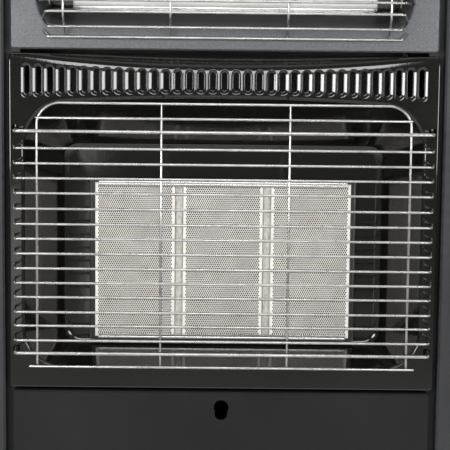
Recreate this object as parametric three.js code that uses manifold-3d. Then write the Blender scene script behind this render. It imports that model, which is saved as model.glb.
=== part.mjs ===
// Portable cabinet heater on castors: a three-plaque gas burner in a pressed enamel bowl below,
// a twin quartz-tube electric element above, and a gas bottle compartment behind a rear door.
// Millimetres, +Z up, the front faces -Y, the origin is on the floor under the middle of the box.

import * as THREE from 'three';
import { mergeVertices } from 'three/addons/utils/BufferGeometryUtils.js';
import Module from 'manifold-3d';

const wasm = await Module();
wasm.setup();

// ------------------------------------------------------------------ driving sizes

const clearance = 0.3; // between pieces that touch or slide
const bendSteps = 1; // chords in a wire's or a sheet's bend

const cabinetWidth = 430; // over the side panels
const cabinetDepth = 398; // front flange to rear flange of a side panel
const wheelRadius = 25;
const wheelHeadroom = 8; // over a wheel, to the underside of the base tray
const castorHeight = 2 * wheelRadius + wheelHeadroom;
const lowerPanelHeight = 262;
const fasciaHeight = 306;
const upperPanelHeight = 111;
const topCasingHeight = 46;
const rearDoorHeight = 492;

const panelSheet = 1.2; // folded steel panels
const traySheet = 1.5;
const panelGap = 3.2; // between one front panel and the next
const sideGap = 4.5; // shadow gap between a front panel and a side panel
const edgeRadius = 1.4; // folded edges of the front panels
const frontFlange = 16; // width of a side panel's front face
const frontBend = 8; // radius of a side panel's front corner
const seatDepth = 15; // how far back the front panels are seated
const seatLip = 14; // width of the lip that carries them
const rearFlange = 14;

const plinthGap = 6; // tray underside to the lower front panel
const lowerPanelInset = 2; // the lower front panel is this much narrower at each side
const sightHoleBelowTop = 17.2; // lower panel's top edge to the sight hole's middle
const sightHoleUpperRadius = 6.9;
const sightHoleLowerRadius = 6;
const sightHoleSpread = 5.8; // between the two circles' centres

// Enamelled fascia: bowl, brow and louvres
const bowlTopMargin = 36.9;
const bowlBottomMargin = 19.6;
const bowlSideMargin = 12.5;
const bowlCornerRadius = 36;
const bowlDepth = 50;
const bowlBackAbove = 29.6; // burner's window to the edge of the bowl's flat back
const bowlBackBeside = 21.6;
const bowlBackBelow = 0.4;
const bowlBackRadius = 14;
const bowlEdgeRoll = 3;
const bowlTopBow = 5.5; // the mouth's upper edge sinks by this towards its corners
const bowlSteps = 4; // facets round each corner of the bowl
const louvrePitch = 10.45;
const louvreWidth = 4.6;
const louvreSideMargin = 16.5; // fascia's side to the last louvre's middle, at least
const louvreTopMargin = 16.2; // fascia's top to the middle louvre
const louvreBottomMargin = 33.3;
const louvreEndRise = 3.6; // the end louvres reach this much higher
const louvreEndDrop = 7.9; // and this much lower
const browRidgeMargin = 14.4; // fascia's top to the brow's ridge in the middle
const browEndRise = 12.5; // the ridge rises by this towards the sides
const browSetback = 8; // how far the top edge leans back in the middle

// Burner
const plaqueWidth = 75;
const plaqueHeight = 146;
const plaqueThickness = 13;
const plaqueGap = 7.5;
const plaqueCount = 3;
const burnerLift = 15.6; // bowl's lower edge to the burner housing
const burnerProud = 4; // housing's rim in front of the bowl's back
const burnerRim = 4.6; // housing's outside to the plaques
const burnerSheet = 2;
const burnerDepth = 46;
const windowGap = 0.6; // between the housing and the bowl's window
const plaqueSetback = 2; // rim to plaque face
const stripHeight = 5;
const stripThickness = 1.5;
const venturiRadius = 10;
const venturiLength = 14;
const venturiFromRim = 30; // rim to the venturi tubes' middle
const manifoldDrop = 12; // venturi mouth to the manifold's middle
const manifoldRadius = 6;
const feedRadius = 4;

// Guards
const guardStandoff = 30; // guard bars in front of the fascia
const barWire = 2.4;
const hookBarWire = 3.2;
const uprightWire = 2.2;
const weldDepth = 0.3; // how far crossing wires are pressed into each other
const guardBarPitch = 13.3;
const guardBarEndMargin = 8.5; // fascia's side to a bar's bend
const guardFootMargin = 4.8; // fascia's side to a bar's foot
const guardHoopInset = 16; // bowl's side to the hoop's leg
const guardHoopTop = 7.2; // below the bowl's upper edge
const guardHoopRadius = 20;
const guardHoopBar = 20.4; // bar inside the hoop, below the bowl's upper edge
const guardUpperHookBar = 32.2;
const guardLowerHookBar = 17.8; // above the bowl's lower edge
const guardBottomBar = 5.3;
const guardBottomReach = 7.3; // bottom bar's end beyond the hoop's leg
const guardFirstBar = 15.4; // below the upper hook bar
const guardLastBar = 10.5; // above the lower hook bar, at least
const guardUprights = [-55.5, 58.5]; // between the hoop's legs
const hookHoleRadius = 3.2; // holes that take the hooked ends of the two thick bars
const hookHoleMargin = 6; // fascia's side to a hole's middle
const hookLength = 6.5; // the turned end behind the fascia

// Electric element
const elementOpeningHeight = 69;
const elementOpeningSide = 26; // upper panel's side to the opening
const elementOpeningRadius = 21;
const elementWallDepth = 25;
const elementWallInsetSide = 7;
const elementWallInsetHeight = 13.4;
const reflectorDepth = 33;
const reflectorSheet = 0.8;
const tubeRadius = 5.5;
const tubeWall = 1.2;
const tubeSpacing = 21;
const capRadius = 8;
const capLength = 20;
const elementGuardStandoff = 25;
const elementGuardEndSide = 10.4; // opening's side to a bar's bend
const elementUprights = [-0.85, -0.288, 0.33, 0.87]; // shares of half the opening's width

// Controls
const controlWidth = 260;
const controlDepth = 90;
const controlMiddle = 195; // front face to the controls' row
const controlPlate = 4.5;
const knobRadius = 21;
const knobHeight = 22;
const knobX = 85;
const knobLift = 6; // plate to knob at rest
const spindleRadius = 3;
const igniterX = 28;
const igniterRadius = 7;
const igniterTravel = 6;
const rockerXs = [-60, -100];
const rockerWidth = 12;
const rockerLength = 23;
const rockerTilt = 10; // degrees each way

// Castors
const wheelWidth = 18;
const wheelSides = 16;
const axleRadius = 3;
const castorTrail = 18;
const stemRadius = 5;
const castorInset = 56; // cabinet's side to a castor's stem
const castorInsetY = 57; // cabinet's front or back to a castor's stem

const shelfWidth = 296;
const shelfFront = 106;
const shelfHeight = 22;
const heatShieldBack = 98;

const gripLength = 96;
const gripHeight = 34;
const gripDepth = 22;
const gripWall = 1.8;
const gripFlange = 3;
const gripFlangeThickness = 1.5;
const gripMiddleY = 175;
const gripBelowTop = 62;
const pullLength = 76;
const pullHeight = 28;
const pullDepth = 11;

// ------------------------------------------------------------------ worked-out places

const halfWidth = cabinetWidth / 2;
const fasciaWidth = cabinetWidth - 2 * (frontFlange + sideGap);
const halfFascia = fasciaWidth / 2;
const panelBack = seatDepth - clearance; // back edge of the front panels' folds

const lowerPanelBottom = castorHeight + plinthGap;
const lowerPanelTop = lowerPanelBottom + lowerPanelHeight;
const fasciaBottom = lowerPanelTop + panelGap;
const fasciaTop = fasciaBottom + fasciaHeight;
const upperPanelBottom = fasciaTop + panelGap;
const upperPanelTop = upperPanelBottom + upperPanelHeight;
const sideBottom = castorHeight + traySheet + clearance;
const sideTop = upperPanelTop + 1.4;
const casingBottom = sideTop + clearance;
const casingTop = casingBottom + topCasingHeight;

const bowl = {
  side: halfFascia - bowlSideMargin,
  top: fasciaTop - bowlTopMargin,
  bottom: fasciaBottom + bowlBottomMargin,
};
const plaqueBank = plaqueCount * plaqueWidth + (plaqueCount - 1) * plaqueGap;
const burner = {
  side: plaqueBank / 2 + burnerRim,
  bottom: bowl.bottom + burnerLift,
  top: bowl.bottom + burnerLift + plaqueHeight + 2 * burnerRim,
  front: bowlDepth - burnerProud,
};
burner.back = burner.front + burnerDepth;
burner.middle = (burner.bottom + burner.top) / 2;
const plaqueFace = burner.front + plaqueSetback;
const elementMiddle = (upperPanelBottom + upperPanelTop) / 2;
const rearSplit = castorHeight + 4 + rearDoorHeight + 1; // foot of the fixed rear panel
const hinge = { x: -(halfWidth - 3) + 4.6, y: cabinetDepth + 11.6, radius: 2 };

// ------------------------------------------------------------------ finishes

const finish = (color, roughness, metalness) =>
  new THREE.MeshStandardMaterial({ color, roughness, metalness, flatShading: true });
const charcoalPaint = finish(0x2f2f30, 0.6, 0.1);
const greyPaint = finish(0x5c5e61, 0.55, 0.2);
const metallicPaint = finish(0x707276, 0.4, 0.6);
const blackEnamel = finish(0x0c0c0b, 0.1, 0.1);
const chrome = finish(0xd6d5d2, 0.15, 1);
const steel = finish(0x9b9b98, 0.35, 1);
const polishedAluminium = finish(0xd0d0ce, 0.12, 1);
const ceramic = finish(0xe6e1d8, 0.85, 0);
const fibre = finish(0xaaa69c, 0.95, 0);
const milkyQuartz = finish(0xe9e8e4, 0.35, 0);
const blackPlastic = finish(0x161617, 0.45, 0);
const redPlastic = finish(0xa8201a, 0.4, 0);
const brass = finish(0xb99a52, 0.35, 1);
const rubber = finish(0x26262a, 0.7, 0);
const galvanised = finish(0x8b8d8e, 0.5, 0.8);

// ------------------------------------------------------------------ building helpers

const at = (x, y, z = 0) => new THREE.Vector3(x, y, z);

/** A closed three.js geometry as a solid, its faces turned outwards. */
function solid(geometry) {
  const bare = geometry.clone();
  for (const name of Object.keys(bare.attributes)) {
    if (name !== 'position') bare.deleteAttribute(name);
  }
  const merged = mergeVertices(bare, 1e-4);
  const position = merged.attributes.position;
  const corner = [at(0, 0), at(0, 0), at(0, 0)];
  const triangles = [];
  let volume = 0;
  for (let i = 0; i < merged.index.count; i += 3) {
    const ids = [0, 1, 2].map((k) => merged.index.getX(i + k));
    if (new Set(ids).size < 3) continue;
    ids.forEach((id, k) => corner[k].fromBufferAttribute(position, id));
    volume += corner[0].dot(corner[1].cross(corner[2]));
    triangles.push(ids);
  }
  const ordered = volume > 0 ? triangles : triangles.map(([a, b, c]) => [a, c, b]);
  return new wasm.Manifold(
    new wasm.Mesh({
      numProp: 3,
      vertProperties: new Float32Array(position.array),
      triVerts: new Uint32Array(ordered.flat()),
    }),
  );
}

/** A named mesh of one solid. */
function piece(name, shape, material) {
  const { vertProperties, triVerts } = shape.getMesh();
  const geometry = new THREE.BufferGeometry();
  geometry.setAttribute('position', new THREE.BufferAttribute(vertProperties, 3));
  geometry.setIndex(new THREE.BufferAttribute(triVerts, 1));
  geometry.computeVertexNormals();
  const mesh = new THREE.Mesh(geometry, material);
  mesh.name = name;
  return mesh;
}

const join = (...solids) => solids.reduce((all, one) => all.add(one));
const cut = (body, ...tools) => tools.reduce((left, tool) => left.subtract(tool), body);

/** The points of a round bend at `here`, between two neighbours. */
function bend(before, here, after, radius, steps) {
  if (!radius) return [here];
  const a = before.clone().sub(here).normalize();
  const b = after.clone().sub(here).normalize();
  const half = a.angleTo(b) / 2;
  const reach = radius / Math.tan(half);
  const toCentre = a.clone().add(b).normalize().multiplyScalar(radius / Math.sin(half));
  const centre = here.clone().add(toCentre);
  const from = here.clone().addScaledVector(a, reach).sub(centre);
  const to = here.clone().addScaledVector(b, reach).sub(centre);
  const turn = from.angleTo(to);
  return Array.from({ length: steps + 1 }, (_, i) => {
    const share = i / steps;
    return centre
      .clone()
      .addScaledVector(from, Math.sin((1 - share) * turn) / Math.sin(turn))
      .addScaledVector(to, Math.sin(share * turn) / Math.sin(turn));
  });
}

/** An open path with its inner corners rounded; radii holds one radius for each inner corner. */
function rounded(points, radii, steps = bendSteps) {
  const inner = points.slice(1, -1).flatMap((here, i) => {
    const radius = Array.isArray(radii) ? radii[i] : radii;
    return bend(points[i], here, points[i + 2], radius, steps);
  });
  return [points[0], ...inner, points.at(-1)];
}

/** The outline of a sheet of the given thickness that follows a flat path. */
function ribbon(path, thickness) {
  const left = [];
  const right = [];
  path.forEach((point, i) => {
    const into = i > 0 ? point.clone().sub(path[i - 1]).normalize() : null;
    const out = i < path.length - 1 ? path[i + 1].clone().sub(point).normalize() : null;
    const a = into ?? out;
    const b = out ?? into;
    const normal = at(-(a.y + b.y), a.x + b.x).normalize();
    const reach = thickness / 2 / normal.dot(at(-a.y, a.x));
    left.push(point.clone().addScaledVector(normal, reach));
    right.unshift(point.clone().addScaledVector(normal, -reach));
  });
  return [...left, ...right];
}

const circle = (u, v, radius, sides = 12, phase = 0) =>
  Array.from({ length: sides }, (_, i) => {
    const angle = phase + (2 * Math.PI * i) / sides;
    return at(u + radius * Math.cos(angle), v + radius * Math.sin(angle));
  });

function rectangle(u0, u1, v0, v1, radius = 0, steps = 3) {
  const corners = [at(u0, v0), at(u1, v0), at(u1, v1), at(u0, v1)];
  return corners.flatMap((here, i) =>
    bend(corners[(i + 3) % 4], here, corners[(i + 1) % 4], radius, steps),
  );
}

/** An upright slot outline with round ends. */
function obround(u, v0, v1, half, steps = 4) {
  const end = (v, start) =>
    Array.from({ length: steps + 1 }, (_, i) => {
      const angle = start + (Math.PI * i) / steps;
      return at(u + half * Math.cos(angle), v + half * Math.sin(angle));
    });
  return [...end(v1 - half, 0), ...end(v0 + half, Math.PI)];
}

/** A level slot outline with round ends. */
const levelSlot = (u0, u1, v, half) =>
  obround(v, u0, u1, half, 2).map((p) => at(p.y, p.x));

const axes = {
  x: new THREE.Matrix4().makeBasis(at(0, 1, 0), at(0, 0, 1), at(1, 0, 0)),
  y: new THREE.Matrix4().makeBasis(at(1, 0, 0), at(0, 0, 1), at(0, -1, 0)),
  z: new THREE.Matrix4(),
};

/** An outline pushed along an axis. Its two coordinates are (y, z), (x, z) or (x, y). */
function prism(axis, outline, from, to) {
  const shape = new THREE.Shape(outline.map((p) => new THREE.Vector2(p.x, p.y)));
  const geometry = new THREE.ExtrudeGeometry(shape, { depth: to - from, bevelEnabled: false });
  geometry.translate(0, 0, axis === 'y' ? -to : from);
  return solid(geometry.applyMatrix4(axes[axis]));
}

const block = (x0, x1, y0, y1, z0, z1) =>
  solid(
    new THREE.BoxGeometry(x1 - x0, y1 - y0, z1 - z0).translate(
      (x0 + x1) / 2,
      (y0 + y1) / 2,
      (z0 + z1) / 2,
    ),
  );

/** A solid skinned over loops that all have as many points, with flat ends. */
function loft(loops) {
  const count = loops[0].length;
  const index = [];
  for (let ring = 0; ring < loops.length - 1; ring += 1) {
    for (let i = 0; i < count; i += 1) {
      const a = ring * count + i;
      const b = ring * count + ((i + 1) % count);
      index.push(a, b, b + count, a, b + count, a + count);
    }
  }
  const last = (loops.length - 1) * count;
  for (let i = 1; i < count - 1; i += 1) {
    index.push(0, i + 1, i, last, last + i, last + i + 1);
  }
  const geometry = new THREE.BufferGeometry().setFromPoints(loops.flat());
  geometry.setIndex(index);
  return solid(geometry);
}

/** A rounded rectangle facing the front at depth y, grown by `grow` on every side. */
const frontLoop = (box, radius, y, grow = 0, steps = 3) =>
  rectangle(
    box.left - grow,
    box.right + grow,
    box.bottom - grow,
    box.top + grow,
    Math.max(radius + grow, 0.4),
    steps,
  ).map((p) => at(p.x, y, p.y));

/** A rounded rectangle seen from above at height z. */
const levelLoop = (box, radius, z, grow = 0, steps = 3) =>
  rectangle(
    box.left - grow,
    box.right + grow,
    box.front - grow,
    box.back + grow,
    Math.max(radius + grow, 0.4),
    steps,
  ).map((p) => at(p.x, p.y, z));

/** Loops of a pressed panel's outside, or of its inside when `grow` is negative. */
function panLoops(box, radius, face, rim, grow) {
  const way = Math.sign(rim - face);
  const roll = Math.max(edgeRadius + grow, 0.3);
  return [
    frontLoop(box, radius, face, grow - roll),
    frontLoop(box, radius, face + way * roll, grow),
    frontLoop(box, radius, rim, grow),
  ];
}

/** A pressed panel: a face at y = face and folds that run to y = rim. */
function pan(box, radius, face, rim, sheet) {
  const way = Math.sign(rim - face);
  return cut(
    loft(panLoops(box, radius, face, rim, 0)),
    loft(panLoops(box, radius, face + way * sheet, rim + way, -sheet)),
  );
}

/** A path that is followed exactly from point to point. */
class PointPath extends THREE.Curve {
  constructor(points) {
    super();
    this.points = points;
  }

  getPoint(t) {
    const along = t * (this.points.length - 1);
    const i = Math.min(Math.floor(along), this.points.length - 2);
    return this.points[i].clone().lerp(this.points[i + 1], along - i);
  }

  getUtoTmapping(u) {
    return u;
  }
}

/** Round wire or pipe along a path. */
function wire(points, diameter, sides = 5) {
  const section = new THREE.Shape(
    circle(0, 0, diameter / 2, sides).map((p) => new THREE.Vector2(p.x, p.y)),
  );
  return solid(
    new THREE.ExtrudeGeometry(section, {
      steps: points.length - 1,
      bevelEnabled: false,
      extrudePath: new PointPath(points),
    }),
  );
}

/** A profile of (radius, height) points that closes on itself or on the axis, turned about Z. */
const turned = (profile, sides) =>
  new THREE.LatheGeometry(
    profile.map(([radius, height]) => new THREE.Vector2(radius, height)),
    sides,
  ).rotateX(Math.PI / 2);

/** A recessed finger cup: a flanged tray with its mouth at height 0 and its floor below. */
function fingerCup(length, height, depth) {
  const box = { left: -length / 2, right: length / 2, front: -height / 2, back: height / 2 };
  const radius = height / 3;
  const shell = join(
    loft([
      levelLoop(box, radius, clearance, gripFlange),
      levelLoop(box, radius, clearance + gripFlangeThickness, gripFlange - 0.6),
    ]),
    loft([levelLoop(box, radius, -depth, -gripWall), levelLoop(box, radius, clearance + 0.2)]),
  );
  return cut(
    shell,
    loft([
      levelLoop(box, radius, -depth + gripWall, -2 * gripWall),
      levelLoop(box, radius, clearance + gripFlangeThickness + 1, -gripWall),
    ]),
  );
}

// ------------------------------------------------------------------ cabinet

function sidePanel(side) {
  const half = panelSheet / 2;
  const lip = halfWidth - frontFlange + half;
  const path = rounded(
    [
      at(lip - seatLip, seatDepth + half),
      at(lip, seatDepth + half),
      at(lip, half),
      at(halfWidth - half, half),
      at(halfWidth - half, cabinetDepth - half),
      at(halfWidth - rearFlange, cabinetDepth - half),
    ],
    [1.5, 1.5, frontBend, 3],
  ).map((p) => at(side * p.x, p.y));
  const middle = sideTop - gripBelowTop;
  const gripHole = rectangle(
    gripMiddleY - gripLength / 2 - clearance,
    gripMiddleY + gripLength / 2 + clearance,
    middle - gripHeight / 2 - clearance,
    middle + gripHeight / 2 + clearance,
    gripHeight / 3 + clearance,
  );
  const wall = side * halfWidth;
  return cut(
    prism('z', ribbon(path, panelSheet), sideBottom, sideTop),
    prism('x', gripHole, Math.min(wall, wall - side * 5) - 1, Math.max(wall, wall - side * 5) + 1),
  );
}

const castorPlaces = [-1, 1].flatMap((side) =>
  [castorInsetY, cabinetDepth - castorInsetY].map((y) => ({
    x: side * (halfWidth - castorInset),
    y,
  })),
);

function baseTray() {
  const side = halfWidth - panelSheet - clearance;
  const front = seatDepth + panelSheet + clearance;
  const back = cabinetDepth - panelSheet - clearance;
  const floor = castorHeight + traySheet;
  const box = { left: -side, right: side, front, back };
  const shell = cut(
    loft([levelLoop(box, 4, castorHeight), levelLoop(box, 4, castorHeight + shelfHeight)]),
    loft([
      levelLoop(box, 4, floor, -traySheet),
      levelLoop(box, 4, castorHeight + shelfHeight + 1, -traySheet),
    ]),
  );
  const earTop = door.bottom - clearance;
  const ear = cut(
    join(
      block(hinge.x - 4, hinge.x + 12, back - 1, hinge.y + 4, castorHeight, floor),
      block(hinge.x - 4, hinge.x + 6, rearSkin, hinge.y + 4, castorHeight, earTop),
    ),
    prism('z', circle(hinge.x, hinge.y, hinge.radius + clearance), castorHeight - 1, earTop + 1),
  );
  const sockets = castorPlaces.map(({ x, y }) =>
    prism('z', circle(x, y, stemRadius + 4, 8), castorHeight, castorHeight + 20),
  );
  const bores = castorPlaces.map(({ x, y }) =>
    prism('z', circle(x, y, stemRadius + clearance), castorHeight - 1, castorHeight + 18),
  );
  return cut(join(shell, ear, ...sockets), ...bores);
}

function bottleShelf() {
  const side = shelfWidth / 2;
  const back = cabinetDepth - panelSheet - traySheet - 2 * clearance;
  const foot = castorHeight + traySheet + clearance;
  return cut(
    block(-side, side, shelfFront, back, foot, castorHeight + shelfHeight),
    block(
      -side + traySheet,
      side - traySheet,
      shelfFront + traySheet,
      back - traySheet,
      foot - 1,
      castorHeight + shelfHeight - traySheet,
    ),
  );
}

function lowerFrontPanel() {
  const box = {
    left: -halfFascia + lowerPanelInset,
    right: halfFascia - lowerPanelInset,
    bottom: lowerPanelBottom,
    top: lowerPanelTop,
  };
  const middle = lowerPanelTop - sightHoleBelowTop;
  const spread = sightHoleSpread / 2;
  return cut(
    pan(box, 2.5, 0, panelBack, panelSheet),
    prism('y', circle(0, middle + spread, sightHoleUpperRadius, 16), -1, 5),
    prism('y', circle(0, middle - spread, sightHoleLowerRadius, 16), -1, 5),
  );
}

const rearSkin = cabinetDepth + clearance;

function rearUpperPanel() {
  const side = halfWidth - 3;
  const back = rearSkin + panelSheet;
  const sheet = block(-side, side, rearSkin, back, rearSplit, sideTop - 0.5);
  const hood = block(-side, side, rearSkin, hinge.y + 5, rearSplit, rearSplit + panelSheet);
  const vents = [];
  const ventHalf = side * 0.31;
  for (let z = rearSplit + 78; z < sideTop - 20; z += 20) {
    for (const x of [-side / 2, side / 2]) {
      const outline = levelSlot(x - ventHalf, x + ventHalf, z, 3);
      vents.push(prism('y', outline, rearSkin - 1, back + 1));
    }
  }
  const pinHole = prism(
    'z',
    circle(hinge.x, hinge.y, hinge.radius + clearance),
    rearSplit - 1,
    rearSplit + panelSheet + 1,
  );
  const glandHole = prism('y', circle(mainsGland.x, mainsGland.z, 8), rearSkin - 1, back + 1);
  return cut(join(sheet, hood), pinHole, glandHole, ...vents);
}

const door = {
  left: -(halfWidth - 3),
  right: halfWidth - 3,
  bottom: castorHeight + 4,
  top: castorHeight + 4 + rearDoorHeight,
  rim: cabinetDepth + 1.6,
};
door.face = door.rim + 14;
const doorPull = { x: door.right - 62, z: (door.bottom + door.top) / 2 };
const mainsGland = { x: halfWidth - 60, z: rearSplit + 30 };

function rearDoor() {
  const pins = prism(
    'z',
    circle(hinge.x, hinge.y, hinge.radius + clearance),
    door.bottom - 1,
    door.top + 1,
  );
  const pull = rectangle(
    doorPull.x - pullLength / 2 - clearance,
    doorPull.x + pullLength / 2 + clearance,
    doorPull.z - pullHeight / 2 - clearance,
    doorPull.z + pullHeight / 2 + clearance,
    pullHeight / 3 + clearance,
  );
  const vents = [];
  for (let i = 0; i < 4; i += 1) {
    const outline = levelSlot(-70, 70, door.bottom + 30 + 14 * i, 3);
    vents.push(prism('y', outline, door.face - 3, door.face + 1));
  }
  return cut(
    pan(door, 5, door.face, door.rim, panelSheet),
    pins,
    prism('y', pull, door.face - 3, door.face + 1),
    ...vents,
  );
}

/** A door pivot: head at height 0, shank upwards. */
const hingePin = () =>
  solid(
    turned(
      [
        [0, -2],
        [hinge.radius + 2, -2],
        [hinge.radius + 2, 0],
        [hinge.radius, 0],
        [hinge.radius, 8.5],
        [0, 8.5],
      ],
      12,
    ),
  );

function doorCatch() {
  const right = halfWidth - rearFlange - clearance;
  const z = (door.bottom + door.top) / 2 + 90;
  const body = block(right - 16, right, cabinetDepth - 12, cabinetDepth + 6, z - 22, z + 22);
  const face = door.face - panelSheet - clearance;
  const magnet = block(right - 14, right - 4, cabinetDepth + 5, face, z - 18, z + 18);
  return join(body, magnet);
}

const control = {
  left: -controlWidth / 2,
  right: controlWidth / 2,
  front: controlMiddle - controlDepth / 2,
  back: controlMiddle + controlDepth / 2,
};

function topCasing() {
  const box = { left: -halfWidth, right: halfWidth, front: 0, back: cabinetDepth };
  const reach = 2.2;
  const wall = 2.7;
  const shell = cut(
    loft([
      levelLoop(box, 10, casingBottom, reach),
      levelLoop(box, 10, casingTop - 9, reach),
      levelLoop(box, 10, casingTop - 3, reach - 2.2),
      levelLoop(box, 10, casingTop, reach - 8),
    ]),
    loft([
      levelLoop(box, 10, casingBottom - 1, reach - wall),
      levelLoop(box, 10, casingTop - 10, reach - wall),
      levelLoop(box, 10, casingTop - 5, reach - wall - 2.2),
      levelLoop(box, 10, casingTop - wall, reach - wall - 7),
    ]),
  );
  const vents = [];
  for (let i = -5; i <= 5; i += 1) {
    const y = cabinetDepth - 62;
    vents.push(prism('z', obround(i * 24, y - 24, y + 24, 3.5, 2), casingTop - 5, casingTop + 1));
  }
  return cut(
    shell,
    loft([levelLoop(control, 8, casingTop - 5, 0), levelLoop(control, 8, casingTop + 1, 0)]),
    ...vents,
  );
}

const plateTop = casingTop + clearance + 2;
const plateBottom = plateTop - controlPlate;
const igniterHole = igniterRadius + clearance;
const rockerWindow = { halfWidth: rockerWidth / 2 + 0.8, halfLength: rockerLength / 2 + 1.9 };

function controlPanel() {
  return cut(
    join(
      loft([
        levelLoop(control, 8, plateBottom, -clearance),
        levelLoop(control, 8, plateTop - 1, -clearance),
      ]),
      loft([
        levelLoop(control, 8, casingTop + clearance, 4),
        levelLoop(control, 8, plateTop - 0.8, 4),
        levelLoop(control, 8, plateTop, 3.2),
      ]),
    ),
    prism('z', circle(knobX, controlMiddle, spindleRadius + 0.6), plateBottom - 1, plateTop + 1),
    prism('z', circle(igniterX, controlMiddle, igniterHole, 16), plateBottom - 1, plateTop + 1),
    ...rockerXs.map((x) =>
      block(
        x - rockerWindow.halfWidth,
        x + rockerWindow.halfWidth,
        controlMiddle - rockerWindow.halfLength,
        controlMiddle + rockerWindow.halfLength,
        plateBottom - 1,
        plateTop + 1,
      ),
    ),
  );
}

// ------------------------------------------------------------------ controls, at their own origins

const knobTravel = 5;

function gasKnob() {
  const grip = [
    [0, 0],
    [knobRadius, 0],
    [knobRadius, 5],
    [knobRadius - 2, 7.5],
    [0, 7.5],
  ];
  const bar = prism(
    'z',
    rectangle(-5.5, 5.5, -knobRadius + 1.5, knobRadius - 1.5, 4, 3),
    6,
    knobHeight,
  );
  return cut(
    join(solid(turned(grip, 24)), bar),
    prism('z', circle(0, 0, spindleRadius + clearance), -1, 11 + clearance),
    block(-0.8, 0.8, -knobRadius + 3, -7, knobHeight - 1, knobHeight + 1),
  );
}

const spindleTop = knobLift + 11; // above the plate
const spindleBottom = -controlPlate - 30;
const pushRod = () => prism('z', circle(0, 0, spindleRadius), spindleBottom, spindleTop);

function gasValve() {
  const top = -controlPlate - clearance;
  const body = join(
    prism('z', circle(0, 0, 9), top - 16, top),
    block(-22, 22, -18, 18, top - 62, top - 15),
    prism('x', circle(0, top - 46, 5, 8), 21, 36),
    prism('z', circle(-10, 0, 5, 8), top - 74, top - 61),
  );
  return cut(
    body,
    prism('z', circle(0, 0, spindleRadius + clearance), spindleBottom - knobTravel - 1, top + 1),
  );
}

function igniterButton() {
  const foot = -igniterTravel - 1;
  return solid(
    turned(
      [
        [0, -22],
        [3, -22],
        [3, foot],
        [igniterRadius, foot],
        [igniterRadius, 7],
        [igniterRadius - 1.5, 8.5],
        [0, 8.5],
      ],
      16,
    ),
  );
}

function igniterBody() {
  const top = -controlPlate - clearance;
  const pocket = -2 * igniterTravel - 3;
  return solid(
    turned(
      [
        [3.3, -58],
        [10, -58],
        [10, top],
        [igniterHole, top],
        [igniterHole, pocket],
        [3.3, pocket],
        [3.3, -58],
      ],
      16,
    ),
  );
}

const rockerPivot = -controlPlate - clearance - 2.2; // below the plate's top

/** A rocker at rest, pressed at its rear end, about its own pivot. */
function rocker() {
  const half = rockerLength / 2;
  const turn = new THREE.Matrix4().makeRotationZ(THREE.MathUtils.degToRad(-rockerTilt));
  const outline = [
    at(-half + 5, -4),
    at(half - 5, -4),
    at(half, 3),
    at(half, 10),
    at(0, 8.4),
    at(-half, 10),
    at(-half, 3),
  ].map((p) => p.applyMatrix4(turn));
  const pinReach = rockerWindow.halfWidth + 2.2;
  return join(
    prism('x', outline, -rockerWidth / 2, rockerWidth / 2),
    prism('x', circle(0, 0, 1.3, 12), -pinReach, pinReach),
  );
}

function switchBlock() {
  const top = plateBottom - clearance;
  const left = Math.min(...rockerXs) - rockerWindow.halfWidth - 4;
  const right = Math.max(...rockerXs) + rockerWindow.halfWidth + 4;
  const reach = rockerWindow.halfLength + 3;
  const pockets = rockerXs.flatMap((x) => [
    block(
      x - rockerWindow.halfWidth,
      x + rockerWindow.halfWidth,
      controlMiddle - rockerWindow.halfLength,
      controlMiddle + rockerWindow.halfLength,
      top - 12,
      top + 1,
    ),
    prism(
      'x',
      [
        at(controlMiddle - 1.6, plateTop + rockerPivot - 1.6),
        at(controlMiddle + 1.6, plateTop + rockerPivot - 1.6),
        at(controlMiddle + 1.6, top + 1),
        at(controlMiddle - 1.6, top + 1),
      ],
      x - rockerWindow.halfWidth - 2.6,
      x + rockerWindow.halfWidth + 2.6,
    ),
  ]);
  return cut(
    block(left, right, controlMiddle - reach, controlMiddle + reach, top - 26, top),
    ...pockets,
  );
}

// ------------------------------------------------------------------ enamelled fascia

/** A bowl loop whose upper edge gets more points and sinks towards its corners by `drop`. */
function bowed(loop, drop) {
  const middle = (bowl.bottom + bowl.top) / 2;
  const last = loop.findIndex((p, i) => p.z > middle && p.x > 0 && loop[i + 1]?.x < 0);
  const steps = [0.2, 0.4, 0.6, 0.8].map((share) => loop[last].clone().lerp(loop[last + 1], share));
  return [...loop.slice(0, last + 1), ...steps, ...loop.slice(last + 1)].map((p) => {
    const share = Math.min(Math.abs(p.x) / (bowl.side - bowlCornerRadius), 1) ** 2;
    return at(p.x, p.y, p.z > middle ? p.z - drop * share : p.z);
  });
}

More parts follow.
